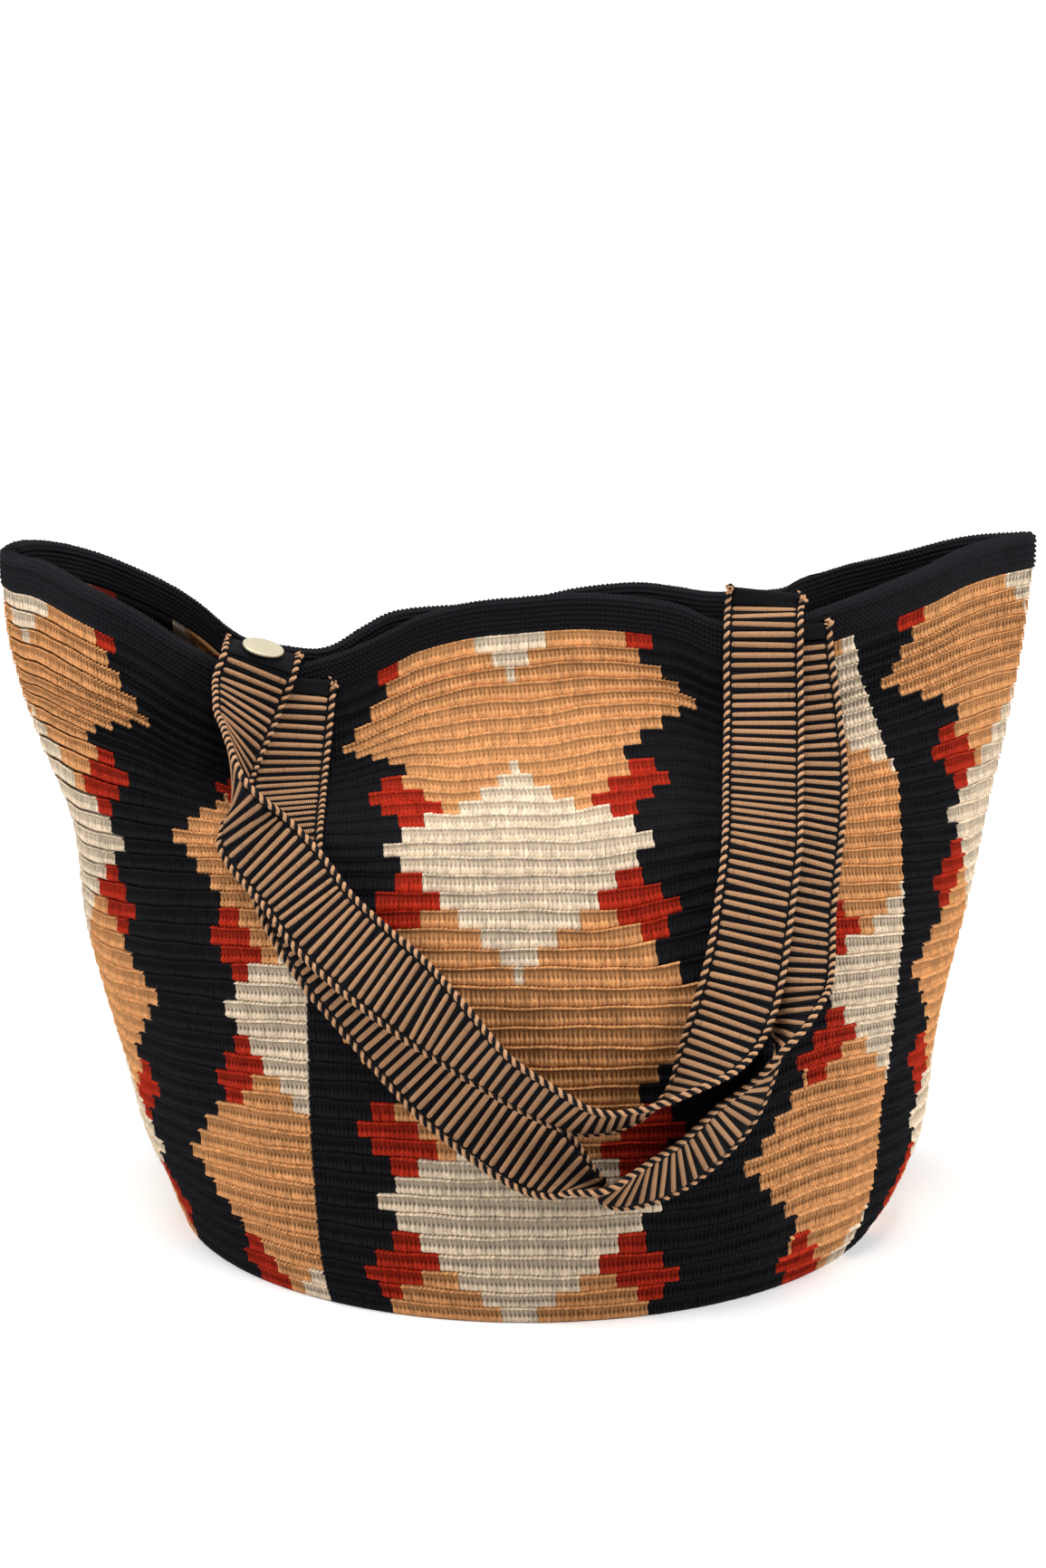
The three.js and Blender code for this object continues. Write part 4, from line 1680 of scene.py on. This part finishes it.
@dataclass
class RimBand:
    """Knitted band around the mouth with a rolled top edge."""

    surface: BagSurface
    count: int = 528
    loop_height: float = 2.1
    loop_relief: float = 0.8
    fibres: int = 4000
    unrolled: float = 34.0
    inner_cover: int = 5
    outside: tuple[tuple[float, float], ...] = (
        (0.1, -0.4), (0.8, 1.6), (0.5, 3.6), (0.9, 5.2), (0.5, 6.8), (0.9, 8.4), (0.5, 10.0),
        (0.9, 11.6), (0.9, 13.2), (0.4, 14.5),
    )
    inside: tuple[tuple[float, float], ...] = (
        (1.0, 15.2), (2.4, 15.4), (3.6, 14.8), (4.5, 13.4), (4.3, 11.0), (4.6, 8.6), (4.3, 6.2),
        (4.5, 3.0), (4.2, -0.4),
    )

    @property
    def columns(self) -> np.ndarray:
        """The column of each point around the band."""
        return np.arange(self.count) / self.count * COLUMNS

    def _rings(self, columns: np.ndarray) -> np.ndarray:
        """Rings of the band from its lower outside edge over the top to the inside.

        Args:
            columns: Columns of the points.

        Returns:
            The rings, the first one again at the end.
        """
        low = self.surface.around(self.surface.ring(0.0), columns)
        lower = self.surface.around(self.surface.ring(0.5), columns)
        along = np.roll(low, -1, axis=0) - np.roll(low, 1, axis=0)
        normal = np.cross(lower - low, along)
        normal[:, 2] = 0.0
        normal = unit(normal)
        up = np.array([0.0, 0.0, 1.0])
        rings = [low + normal * push + up * high for push, high in self.outside]
        rings += [self.surface.inner(0.0, depth, columns) + up * high for depth, high in self.inside]
        return np.stack([*rings, rings[0]])

    def build(self, knit: bpy.types.Material) -> bpy.types.Object:
        """Make the band.

        Args:
            knit: Material of the knit.

        Returns:
            The finished piece.
        """
        lengths = [high for _, high in self.outside]
        lengths += [self.unrolled - high for _, high in self.inside] + [self.unrolled]
        parts = MeshParts()
        grid = self._rings(self.columns)[::-1]
        parts.add_grid(grid, self.columns, np.array(lengths)[::-1], True, COLUMNS)
        return parts.build("knit_rim", knit)

    def _loop_template(self) -> bpy.types.Object:
        """One small leaning loop of the knit.

        Returns:
            The template.
        """
        # Distance down the loop, half width, height of its middle, and lean.
        profile = (
            (0.02, 0.3, -0.2, -0.2),
            (0.3, 0.52, 0.9, 0.0),
            (0.7, 0.52, 1.0, 0.25),
            (0.98, 0.3, -0.2, 0.45),
        )
        grid = []
        local = []
        for y, half, middle, lean in profile:
            grid.append([(lean - half, -y, -0.4), (lean, -y, middle), (lean + half, -y, -0.4)])
            local.append([(x / STITCHES_PER_COLUMN, y * self.loop_height) for x in (-0.3, 0.0, 0.3)])
        return template("one_loop", np.array(grid) / MM, np.array(local), False)

    def build_loops(self, tree: PieceTree, knit: bpy.types.Material) -> bpy.types.Object:
        """Cover the outside and the top of the band with small knitted loops.

        Args:
            tree: The tree of stitch_tree.
            knit: Material of the knit.

        Returns:
            The finished piece.
        """
        points, rows = self._cover(self.columns)
        height = np.full(len(rows) - 1, self.loop_relief)
        places = stitch_places(points, self.columns, rows[:-1], height, np.random.default_rng(23))
        shape = self._loop_template()
        values = {"Jitter": 0.08, "Seed": 31, "Material": knit}
        piece = set_on_points(tree, "knit_rim_loops", shape, places, values)
        discard(shape)
        return piece

    def build_fuzz(self, tree: PieceTree, knit: bpy.types.Material) -> bpy.types.Object:
        """Loose fibres all over the band."""
        points, rows = self._cover(self.columns)
        return Fuzz(count=self.fibres).build("rim_fuzz", tree, points, self.columns, rows, knit)

    def _cover(self, columns: np.ndarray) -> tuple[np.ndarray, np.ndarray]:
        """Even rings over the band from its inside to its lower outside edge, and their uv rows.

        Args:
            columns: Columns of the points.

        Returns:
            The rings and the second uv number of each.
        """
        rings = self._rings(columns)[:-1]
        path = rings[len(self.outside) + self.inner_cover :: -1]
        steps = np.linalg.norm(np.diff(path, axis=0), axis=-1).mean(axis=1)
        travelled = np.concatenate([[0.0], np.cumsum(steps)])
        count = int(travelled[-1] / self.loop_height)
        want = np.linspace(0.0, travelled[-1], count + 1)
        low = np.clip(np.searchsorted(travelled, want, side="right") - 1, 0, len(path) - 2)
        part = ((want - travelled[low]) / (travelled[low + 1] - travelled[low]))[:, None, None]
        points = path[low] * (1 - part) + path[low + 1] * part
        return points, np.arange(count + 1) * self.loop_height


# Each strap is given by its two edges: column, row and lift off the wall for the first edge, then
# for the second. Rows under -2 stand above the mouth. The strap turns over where edges cross.
BACK_STRAP = (
    (11.9, -3.9, -2.9, 16.3, -3.9, -3.7),
    (11.8, -2.9, -2.7, 16.2, -2.9, -3.4),
    (11.8, -1.4, 6.4, 16.2, -1.3, 6.4),
    (11.8, 0.8, 7.4, 16.2, 1.0, 7.4),
    (11.6, 4.1, 8, 16.4, 4.6, 8),
    (11.2, 9.6, 8, 16.0, 9.8, 8),
    (10.6, 14.6, 8, 15.1, 14.5, 8.5),
    (9.9, 18, 8, 14, 18, 9),
    (9.5, 20.8, 8, 12.6, 21.2, 13),
    (9, 22.9, 8, 11.1, 23.6, 20),
    (8.2, 24.6, 8, 9.4, 25.2, 30),
    (7.2, 26.8, 8, 7, 26.2, 38),
    (5.2, 28.6, 9, 4.6, 27, 38),
    (2.6, 28.9, 12, 2.9, 27.1, 36),
    (0.2, 27.9, 13, 1.2, 26.2, 34),
    (-2.5, 26.2, 13, -1, 24.9, 31),
    (-4.8, 24.8, 13, -3, 23, 26),
    (-7.4, 23.4, 12, -4.8, 21.2, 18),
    (-10, 21.8, 11, -6.9, 19.4, 12),
    (-12.4, 20, 10, -8.9, 17.6, 10),
    (-13.6, 18.5, 10, -11, 15.4, 10.6),
    (-14.4, 17.5, 9, -12.6, 14.1, 14.5),
    (-15.5, 16.3, 8, -14, 13.4, 22.5),
    (-16.3, 14.8, 7, -14.7, 13.1, 31.5),
    (-16.6, 12.9, 7.5, -15.6, 12.5, 37),
    (-16.4, 9.5, 8.8, -17.4, 10.1, 37.5),
    (-15.6, 5.8, 9.4, -18.7, 3.3, 30.5),
    (-14.7, 2.5, 8.8, -18.7, 1.3, 23.5),
    (-13.8, 0.4, 8.4, -18.3, -0.6, 12.4),
    (-13.1, -0.8, 9.9, -17.5, -2.5, 7),
    (-12.9, -1.6, 6.4, -17, -3.6, -1.9),
    (-12.8, -2.2, 1.8, -16.6, -4.6, -11.3),
)
FRONT_STRAP = (
    (-15.1, -1.6, 2.9, -10.8, -0.6, 2.9),
    (-15.2, -0.6, 3.1, -10.9, 0.5, 3.1),
    (-15.6, 2.5, 4.4, -11.1, 4.1, 4),
    (-16, 7.2, 3.8, -11.4, 8.2, 3.8),
    (-15.9, 13.2, 3.8, -11.5, 13.5, 3.8),
    (-15.1, 16.4, 3.8, -11.4, 15.9, 3.8),
    (-13.8, 19, 3.8, -10.1, 17.9, 3.8),
    (-11.9, 21.6, 3.8, -8.4, 20, 3.8),
    (-10, 23.8, 3.8, -6.5, 21.9, 3.8),
    (-7.8, 26.2, 4, -4.5, 24, 3.8),
    (-5.5, 28.2, 6, -2.6, 26, 3.8),
    (-2.6, 30.2, 11, -0.1, 27.8, 4),
    (0.1, 31.2, 19, 1.4, 29.4, 4),
    (2, 31.3, 28, 2.6, 31, 7),
    (2.9, 30.8, 36, 3.4, 32, 9),
    (4, 30.1, 35, 4.5, 32.9, 10),
    (5.5, 29.6, 28, 6.5, 32.8, 9),
    (7.1, 29, 23, 8.8, 31.8, 7),
    (9.2, 27.1, 22, 11.1, 30, 5),
    (10.5, 25.8, 27, 12.5, 27.5, 4.2),
    (11.5, 24.4, 33, 12.9, 25.4, 4),
    (13, 23.2, 32, 12.6, 23.5, 4),
    (14.5, 21.9, 22, 12.2, 21.4, 4),
    (16.2, 18.9, 8, 12.5, 18.4, 4),
    (17.4, 15.4, 4.2, 13.1, 15.1, 3.8),
    (18.6, 9.6, 3.8, 14.1, 8.8, 3.8),
    (18.5, 5.6, 3.8, 14.1, 4.1, 3.8),
    (18.1, 1.2, 3.4, 13.6, 0.6, 3.4),
    (17.9, -0.3, 3, 13.5, -0.9, 3),
    (17.8, -1.2, 2.9, 13.4, -1.8, 2.9),
)


@dataclass
class StrapPath:
    """Centre line of a strap with its width and face directions."""

    surface: BagSurface
    stations: Sequence[Sequence[float]]
    steps: int = 12
    travel_reach: float = 2.0

    def __post_init__(self) -> None:
        """Sample the centre line and the width direction once."""
        first = np.array([self.surface.lifted(*s[:3]) for s in self.stations])
        second = np.array([self.surface.lifted(*s[3:]) for s in self.stations])
        self.line = self._smooth((first + second) / 2)
        self.wide = self._smooth(unit(second - first))
        lengths = np.linalg.norm(np.diff(self.line, axis=0), axis=1)
        self.travelled = np.concatenate([[0.0], np.cumsum(lengths)])
        self.total = float(self.travelled[-1])

    def _smooth(self, values: np.ndarray) -> np.ndarray:
        """A smooth curve through values at the stations.

        Args:
            values: One row for each station.

        Returns:
            The values all along the strap.
        """
        padded = np.vstack([values[:1], values, values[-1:]])
        out = [
            curve_through(*padded[i : i + 4], k / self.steps)
            for i in range(len(values) - 1)
            for k in range(self.steps)
        ]
        return np.array([*out, values[-1]])

    def _lookup(self, values: np.ndarray, distance: np.ndarray) -> np.ndarray:
        """Values of the curve at distances along it."""
        inside = np.clip(distance, 0, self.total)
        return np.stack([np.interp(inside, self.travelled, values[:, k]) for k in range(3)], axis=-1)

    def frames(self, distance: np.ndarray) -> tuple[np.ndarray, np.ndarray, np.ndarray, np.ndarray]:
        """Centre, travel, width and face direction at distances along the strap.

        Args:
            distance: Distances from the first end.

        Returns:
            Four arrays, one row for each distance.
        """
        centre = self._lookup(self.line, distance)
        ahead = self._lookup(self.line, distance + self.travel_reach)
        travel = unit(ahead - self._lookup(self.line, distance - self.travel_reach))
        width = self._lookup(self.wide, distance)
        width = unit(width - travel * np.sum(width * travel, axis=-1, keepdims=True))
        return centre, travel, width, unit(np.cross(travel, width))


@dataclass
class StrapCloths:
    """Materials of a strap."""

    web: bpy.types.Material
    light_rib: bpy.types.Material
    dark_rib: bpy.types.Material
    light_strand: bpy.types.Material
    dark_strand: bpy.types.Material


@dataclass
class Strap:
    """Woven web with round ribs across it, braided edge cords, black hems and knots."""

    name: str
    path: StrapPath
    cloths: StrapCloths
    half_width: float = 13.7
    web_half_thickness: float = 0.55
    web_step: float = 1.5
    web_points: int = 9
    rib_sides: int = 8
    cord_radius: float = 1.5
    cord_gap: float = 0.9
    cord_tuck: float = 0.5
    cord_step: float = 1.6
    strand_swing: float = 0.66
    strand_radius: float = 0.86
    first_hem: float = 7.0
    last_hem: float = 7.0
    hem_half_thickness: float = 1.3
    hem_points: int = 17
    clearance: float = 0.4
    knot_from_end: float = 0.8
    knot_spread: float = 0.75
    knot_sides: int = 6

    @property
    def ribbed(self) -> tuple[float, float]:
        """Where the ribs begin and end along the strap."""
        return self.first_hem + self.clearance, self.path.total - self.last_hem - self.clearance

    @property
    def cord_reach(self) -> float:
        """Distance of each edge cord from the centre line."""
        return self.half_width + self.cord_gap + self.cord_radius - self.cord_tuck

    def _sweep(self, distance: np.ndarray, across: np.ndarray, up: np.ndarray) -> np.ndarray:
        """A grid of points given across and up in the strap's frames.

        Args:
            distance: Distances along the strap.
            across: Offsets along the width.
            up: Offsets off the face.

        Returns:
            The grid, one row for each distance.
        """
        centre, _, width, face = self.path.frames(distance)
        return centre[:, None] + width[:, None] * across[..., None] + face[:, None] * up[..., None]

    def web(self) -> bpy.types.Object:
        """The thin black web under the ribs.

        Returns:
            The finished piece.
        """
        begin, end = self.ribbed
        distance = np.linspace(begin, end, int((end - begin) / self.web_step))
        side = np.linspace(-1, 1, self.web_points)
        profile = np.concatenate([side, side[::-1]])
        sign = np.repeat([1.0, -1.0], self.web_points)
        across = np.broadcast_to(profile * (self.half_width + 0.5), (len(distance), len(profile)))
        up = np.broadcast_to(sign * self.web_half_thickness, across.shape).copy()
        up[[0, -1]] = 0.0
        parts = MeshParts()
        u = np.concatenate([(side + 1) / 2, 1 + (side + 1) / 2])
        parts.add_grid(self._sweep(distance, across, up), u, distance / RIB_PITCH, True, 2.0)
        return parts.build(f"{self.name}_web", self.cloths.web)

    def _rib_template(self) -> bpy.types.Object:
        """One round rib of unit size, along X, with softly closed ends.

        Returns:
            The template.
        """
        sides = self.rib_sides
        around = np.linspace(0, 2 * np.pi, sides, endpoint=False)
        grid = []
        local = []
        for x, size in ((-1, 0), (-0.985, 0.7), (-0.9, 1), (0, 1.04), (0.9, 1), (0.985, 0.7), (1, 0)):
            grid.append([(x, size * math.cos(a), size * math.sin(a)) for a in around])
            local.append([((x + 1) / 2, 0.1 + 0.8 * k / sides) for k in range(sides)])
        return template("one_rib", np.array(grid) / MM, np.array(local), True)

    def ribs(self, tree: PieceTree) -> list[bpy.types.Object]:
        """Tan and black ribs by turns, from hem to hem.

        Args:
            tree: The tree of stitch_tree.

        Returns:
            The tan ribs and the black ribs.
        """
        begin, end = self.ribbed
        count = int((end - begin) / RIB_PITCH)
        shape = self._rib_template()
        rng = np.random.default_rng(3)
        pieces = []
        # Name, place within the pitch, half thickness, half height and material.
        choices = (
            ("tan_ribs", 0.27, 1.36, 1.1, self.cloths.light_rib),
            ("black_ribs", 0.77, 0.9, 0.9, self.cloths.dark_rib),
        )
        for word, shift, thick, high, material in choices:
            number = np.arange(count) + shift + rng.normal(0, 0.02, count)
            centre, travel, width, face = self.path.frames(begin + number * (end - begin) / count)
            thickness = thick * (1 + rng.normal(0, 0.06, count))
            sizes = [np.full(count, self.half_width), thickness, np.full(count, high)]
            places = {
                "at": centre,
                "out": face,
                "along": width + travel * rng.normal(0, 0.02, count)[:, None],
                "reach": np.column_stack(sizes) * MM,
                "home": np.column_stack([np.zeros(count), np.arange(count), np.zeros(count)]),
            }
            values = {"Jitter": 0.008, "Seed": 3, "Material": material}
            pieces.append(set_on_points(tree, f"{self.name}_{word}", shape, places, values))
        discard(shape)
        return pieces

    def cord(self, side: int, tree: PieceTree) -> list[bpy.types.Object]:
        """The two strands of one braided edge cord.

        Args:
            side: -1 for the left edge and 1 for the right one.
            tree: The tree of strand_tree.

        Returns:
            The tan and the black strand.
        """
        inset = self.clearance
        distance = np.linspace(inset, self.path.total - inset, int(self.path.total / self.cord_step))
        across = np.full((len(distance), 1), side * self.cord_reach)
        line = self._sweep(distance, across, np.zeros_like(across))[:, 0]
        edges = [(i, i + 1) for i in range(len(line) - 1)]
        word = "left" if side < 0 else "right"
        pieces = []
        for phase, shade, material in (
            (0.0, "tan", self.cloths.light_strand),
            (0.5, "black", self.cloths.dark_strand),
        ):
            obj = link_mesh(f"{self.name}_{word}_{shade}_strand", line, edges, [])
            values = {
                "Pitch": RIB_PITCH * MM,
                "Phase": phase,
                "Swing": self.strand_swing * MM,
                "Radius": self.strand_radius * MM,
                "Material": material,
            }
            pieces.append(tree.run(obj, values))
        return pieces

    def hem(self, last: bool) -> bpy.types.Object:
        """Black folded hem at one end.

        Args:
            last: True for the hem at the far end.

        Returns:
            The finished piece.
        """
        length = self.last_hem if last else self.first_hem
        start = self.path.total - length if last else 0.0
        along = np.array([0.0, 0.01, 0.06, 0.18, 0.35, 0.5, 0.65, 0.82, 0.94, 0.99, 1.0])
        puff = np.array([0.0, 0.4, 0.8, 1.0, 1.05, 1.05, 1.05, 1.0, 0.8, 0.4, 0.0])
        side = np.linspace(-1, 1, self.hem_points)
        taper = np.sqrt(np.clip(1 - np.abs(side) ** 14, 0.05, 1))
        profile = np.concatenate([side, side[::-1]])
        across = np.broadcast_to(profile * (self.half_width + 0.6), (len(along), len(profile)))
        up = np.concatenate([taper, -taper])[None] * puff[:, None] * self.hem_half_thickness
        parts = MeshParts()
        u = np.concatenate([(side + 1) / 2, 1 + (side + 1) / 2])
        parts.add_grid(self._sweep(start + along * length, across, up), u, along, True, 2.0)
        return parts.build(f"{self.name}_{'last' if last else 'first'}_hem", self.cloths.web)

    def knots(self, tree: PieceTree) -> list[bpy.types.Object]:
        """Small frayed knots where the four cord ends are tied off.

        Args:
            tree: The tree of stitch_tree.

        Returns:
            The tan knots and the black knots.
        """
        rng = np.random.default_rng(17)
        sides = self.knot_sides
        around = np.linspace(0, 2 * np.pi, sides, endpoint=False)
        grid = []
        local = []
        for x, size in ((-1, 0), (-0.7, 0.8), (0, 1), (0.6, 0.85), (1, 0)):
            grid.append([(x, size * math.cos(a) + 0.9 * x * x, size * math.sin(a)) for a in around])
            local.append([(x, k / sides) for k in range(sides)])
        shape = template("one_tuft", np.array(grid) / MM, np.array(local), True)
        choices = (("tan", self.cloths.light_strand, 9), ("black", self.cloths.dark_strand, 6))
        pieces = []
        for word, material, count in choices:
            at = []
            for distance in (self.knot_from_end, self.path.total - self.knot_from_end):
                centre, _, width, _ = (v[0] for v in self.path.frames(np.array([distance])))
                for side in (-1, 1):
                    spread = rng.normal(0, self.knot_spread, (count, 3))
                    at.append(centre + width * side * self.cord_reach + spread)
            at = np.concatenate(at)
            number = len(at)
            length = 1.1 + rng.random(number) * 0.8
            thick = 0.5 + rng.random(number) * 0.3
            places = {
                "at": at,
                "out": unit(rng.normal(0, 1, (number, 3))),
                "along": unit(rng.normal(0, 1, (number, 3))),
                "reach": np.column_stack([length, thick, thick]) * MM,
                "home": np.column_stack([np.zeros(number), np.arange(number), np.zeros(number)]),
            }
            values = {"Jitter": 0.2, "Seed": 9, "Material": material}
            pieces.append(set_on_points(tree, f"{self.name}_{word}_knots", shape, places, values))
        discard(shape)
        return pieces


@dataclass
class Stud:
    """Round metal plate with a soft rim, and its washer behind the hem."""

    radius: float = 9.0
    thickness: float = 1.4
    back_radius: float = 3.5
    back_thickness: float = 1.0
    from_end: float = 4.6
    rim: float = 0.35
    sides: int = 64
    tilt: float = math.radians(11)

    def disc(
        self, name: str, strap: Strap, low: float, high: float, radius: float, material: bpy.types.Material
    ) -> bpy.types.Object:
        """Make one disc on the last hem of a strap.

        Args:
            name: Name of the piece.
            strap: The strap that carries it.
            low: Where the disc begins, above the middle of the hem.
            high: Where it ends.
            radius: Its radius.
            material: Its metal.

        Returns:
            The finished piece.
        """
        distance = np.array([strap.path.total - self.from_end])
        centre, travel, width, face = (v[0] for v in strap.path.frames(distance))
        out = face if face[2] > 0 else -face
        out, travel = (
            out * math.cos(self.tilt) + travel * math.sin(self.tilt),
            travel * math.cos(self.tilt) - out * math.sin(self.tilt),
        )
        rim = self.rim
        profile = [(0.0, low), (radius - rim, low), (radius, low + rim), (radius, high - rim)]
        profile += [(radius - rim * 0.5, high - rim * 0.3), (radius - rim * 2, high), (0.0, high + 0.2)]
        angle = np.linspace(0, 2 * np.pi, self.sides, endpoint=False)
        rings = []
        for r, up in profile:
            ring = centre + width * (r * np.cos(angle))[:, None] + travel * (r * np.sin(angle))[:, None]
            rings.append(ring + out * up)
        grid = np.stack(rings)
        if float(np.dot(np.cross(width, travel), out)) > 0:
            grid = grid[::-1]
        parts = MeshParts()
        parts.add_grid(grid, angle / (2 * np.pi), np.linspace(0, 1, len(profile)), True, 1.0)
        return parts.build(name, material)


# Stage


@dataclass(frozen=True)
class Studio:
    """Camera, pale floor and soft light."""

    camera_height: float = 0.4886
    camera_distance: float = 1.307
    camera_side: float = -0.002
    tilt: float = math.radians(12.7)
    focal: float = 3300 / PHOTO_LONG_SIDE * SENSOR_WIDTH
    fill: float = 0.16
    floor_reach: float = 6000.0
    floor_grey: float = 0.86
    glow_at_bag: float = 0.28
    glow_begin: float = 0.35
    glow_end: float = 0.9
    aim_height: float = 0.15

    def camera(self) -> None:
        """Camera at the photograph's place."""
        data = bpy.data.cameras.new("camera")
        data.sensor_width = SENSOR_WIDTH
        data.lens = self.focal
        data.clip_end = 50
        obj = bpy.data.objects.new("camera", data)
        obj.location = (self.camera_side, -self.camera_distance, self.camera_height)
        obj.rotation_euler = (math.pi / 2 - self.tilt, 0, 0)
        bpy.context.scene.collection.objects.link(obj)
        bpy.context.scene.camera = obj

    def lamp(self, name: str, place: tuple[float, float, float], size: float, power: float) -> None:
        """A soft square lamp that faces the bag.

        Args:
            name: Its name.
            place: Where it hangs, in metres.
            size: Its side, in metres.
            power: Its power, in watts.
        """
        data = bpy.data.lights.new(name, "AREA")
        data.shape = "SQUARE"
        data.size = size
        data.energy = power
        obj = bpy.data.objects.new(name, data)
        obj.location = place
        aim = np.array([0.0, 0.0, self.aim_height]) - np.array(place)
        flat = math.hypot(aim[0], aim[1])
        obj.rotation_euler = (math.pi / 2 - math.atan2(-aim[2], flat), 0, math.atan2(-aim[0], aim[1]))
        bpy.context.scene.collection.objects.link(obj)

    def _seen(self, graph: Graph) -> Value:
        """1 for rays from the camera, by reflection or through glass.

        Args:
            graph: The tree to build in.

        Returns:
            The number.
        """
        rays = graph.node("ShaderNodeLightPath").outputs
        seen = Value(graph, rays["Is Camera Ray"])
        for name in ("Is Glossy Ray", "Is Transmission Ray"):
            seen = seen.at_least(Value(graph, rays[name]))
        return seen

    def floor(self) -> bpy.types.Object:
        """Wide white floor that glows softly away from the bag, so that it keeps the bag's shadow.

        Returns:
            The floor.
        """
        xs = np.linspace(-self.floor_reach, self.floor_reach, 5)
        grid = np.array([[(x, y, 0) for x in xs] for y in xs[::-1]], float)
        s = Shader("floor_white")
        grey = (self.floor_grey, self.floor_grey, self.floor_grey, 1.0)
        plain = s.principled({"Base Color": grey, "Roughness": 0.9, "Specular IOR Level": 0.0})
        place = s.graph.node("ShaderNodeTexCoord").outputs["Object"]
        length = s.graph.node("ShaderNodeVectorMath", {"operation": "LENGTH"}, {0: place})
        radius = Value(s.graph, length.outputs["Value"])
        away = radius.rise(self.glow_begin, self.glow_end)
        share = self._seen(s.graph) * (self.glow_at_bag + away * (1.0 - self.glow_at_bag))
        white = s.graph.node("ShaderNodeEmission", {}, {"Color": WHITE, "Strength": 1.0})
        glow = s.graph.node("ShaderNodeMixShader", {}, {0: share, 2: white.outputs[0]})
        both = s.graph.node("ShaderNodeAddShader", {}, {0: plain, 1: glow.outputs[0]})
        parts = MeshParts()
        parts.add_grid(grid, xs, xs, False)
        return parts.build("studio_floor", s.close(both.outputs[0]))

    def world(self) -> None:
        """White surroundings for the camera and a soft fill for the bag."""
        world = bpy.data.worlds.new("studio")
        bpy.context.scene.world = world
        world.use_nodes = True
        world.node_tree.nodes.clear()
        graph = Graph(world.node_tree)
        strength = self.fill + self._seen(graph) * (1.0 - self.fill)
        back = graph.node("ShaderNodeBackground", {}, {"Color": WHITE, "Strength": strength})
        graph.node("ShaderNodeOutputWorld", {}, {"Surface": back.outputs[0]})

    def build(self) -> None:
        """Make the whole stage."""
        self.camera()
        self.world()
        # Name, place in metres, side in metres and power in watts.
        lamps = (
            ("top_lamp", (-0.1, -0.3, 1.6), 1.2, 29),
            ("left_lamp", (-1.6, -0.5, 0.75), 0.9, 21),
            ("right_lamp", (1.6, -0.5, 0.75), 0.9, 26),
            ("front_lamp", (-0.6, -1.9, 1.1), 1.4, 2.5),
        )
        for name, place, size, power in lamps:
            self.lamp(name, place, size, power)
        self.floor()
        bpy.context.scene.view_settings.view_transform = "Standard"


# Assembly


def seat(obj: bpy.types.Object, slot: str, *nodes: str) -> None:
    """Seat a finished piece on the frame and log it.

    Args:
        obj: The finished piece.
        slot: Name of a material slot; not used.
        nodes: CAD nodes that the piece stands for.
    """
    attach(obj, "root")
    if nodes:
        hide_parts(*nodes)
    LOG.info("%s: %d faces", obj.name, len(obj.data.polygons))


def dress_straps(surface: BagSurface, points: PieceTree) -> None:
    """Make both straps with their ribs, cords, hems, knots and the stud.

    Args:
        surface: The wall that they lie on.
        points: The tree of stitch_tree.
    """
    winding = strand_tree()
    cloths = StrapCloths(
        HemMaterial().build(),
        RibMaterial("tan_rib", Yarn.STRAP_TAN).build(),
        RibMaterial("black_rib", Yarn.STRAP_BLACK).build(),
        StrandMaterial("tan_strand", Yarn.STRAP_TAN).build(),
        StrandMaterial("black_strand", Yarn.STRAP_BLACK).build(),
    )
    metal = metal_material(MetalFinish())
    for node, stations, last_hem in (("front_strap", FRONT_STRAP, 7.0), ("back_strap", BACK_STRAP, 12.4)):
        strap = Strap(f"woven_{node}", StrapPath(surface, stations), cloths, last_hem=last_hem)
        seat(strap.web(), "strap_weave", node)
        for ribs in strap.ribs(points):
            seat(ribs, "strap_weave")
        for side, word in ((-1, "left"), (1, "right")):
            first, second = strap.cord(side, winding)
            seat(first, "strap_braid", f"{node}_edge_{word}")
            seat(second, "strap_braid")
        seat(strap.hem(False), "hem_weave", f"{node}_end_left")
        seat(strap.hem(True), "hem_weave", f"{node}_end_right")
        for knots in strap.knots(points):
            seat(knots, "strap_braid")
        if node == "back_strap":
            stud = Stud()
            face = strap.hem_half_thickness + strap.clearance
            plate = stud.disc("stud_plate", strap, face, face + stud.thickness, stud.radius, metal)
            seat(plate, "stud_metal", "stud_cap")
            low = -face - stud.back_thickness
            washer = stud.disc("stud_washer", strap, low, -face, stud.back_radius, metal)
            seat(washer, "stud_metal", "stud_back")


def main() -> None:
    """Build the scene."""
    logging.basicConfig(level=logging.INFO, format="%(message)s")
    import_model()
    Studio().build()
    surface = BagSurface()
    points = stitch_tree()
    body = BagBody(surface)
    base = KnitMaterial("base_crochet", 4.0, 0.5).build()
    # The backing and the inner side are one yarn in two painted shades, at a half and a quarter of its
    # brightness.
    behind = WallMaterial("backing_yarn", 0.5).build()
    inside = WallMaterial("inner_yarn", 0.25).build()
    seat(body.build_wall(behind, base, inside), "crochet", "crochet_body")
    yarn = StitchMaterial().build()
    for rows in body.build_stitches(points, yarn):
        seat(rows, "crochet")
    seat(body.build_fuzz(points, yarn), "crochet")
    rim = RimBand(surface)
    knit = KnitMaterial("rim_knit", 4.0, 0.476).build()
    seat(rim.build(knit), "rim_knit", "rim_band")
    seat(rim.build_loops(points, knit), "rim_knit")
    seat(rim.build_fuzz(points, knit), "rim_knit")
    dress_straps(surface, points)


if __name__ == "__main__":
    main()
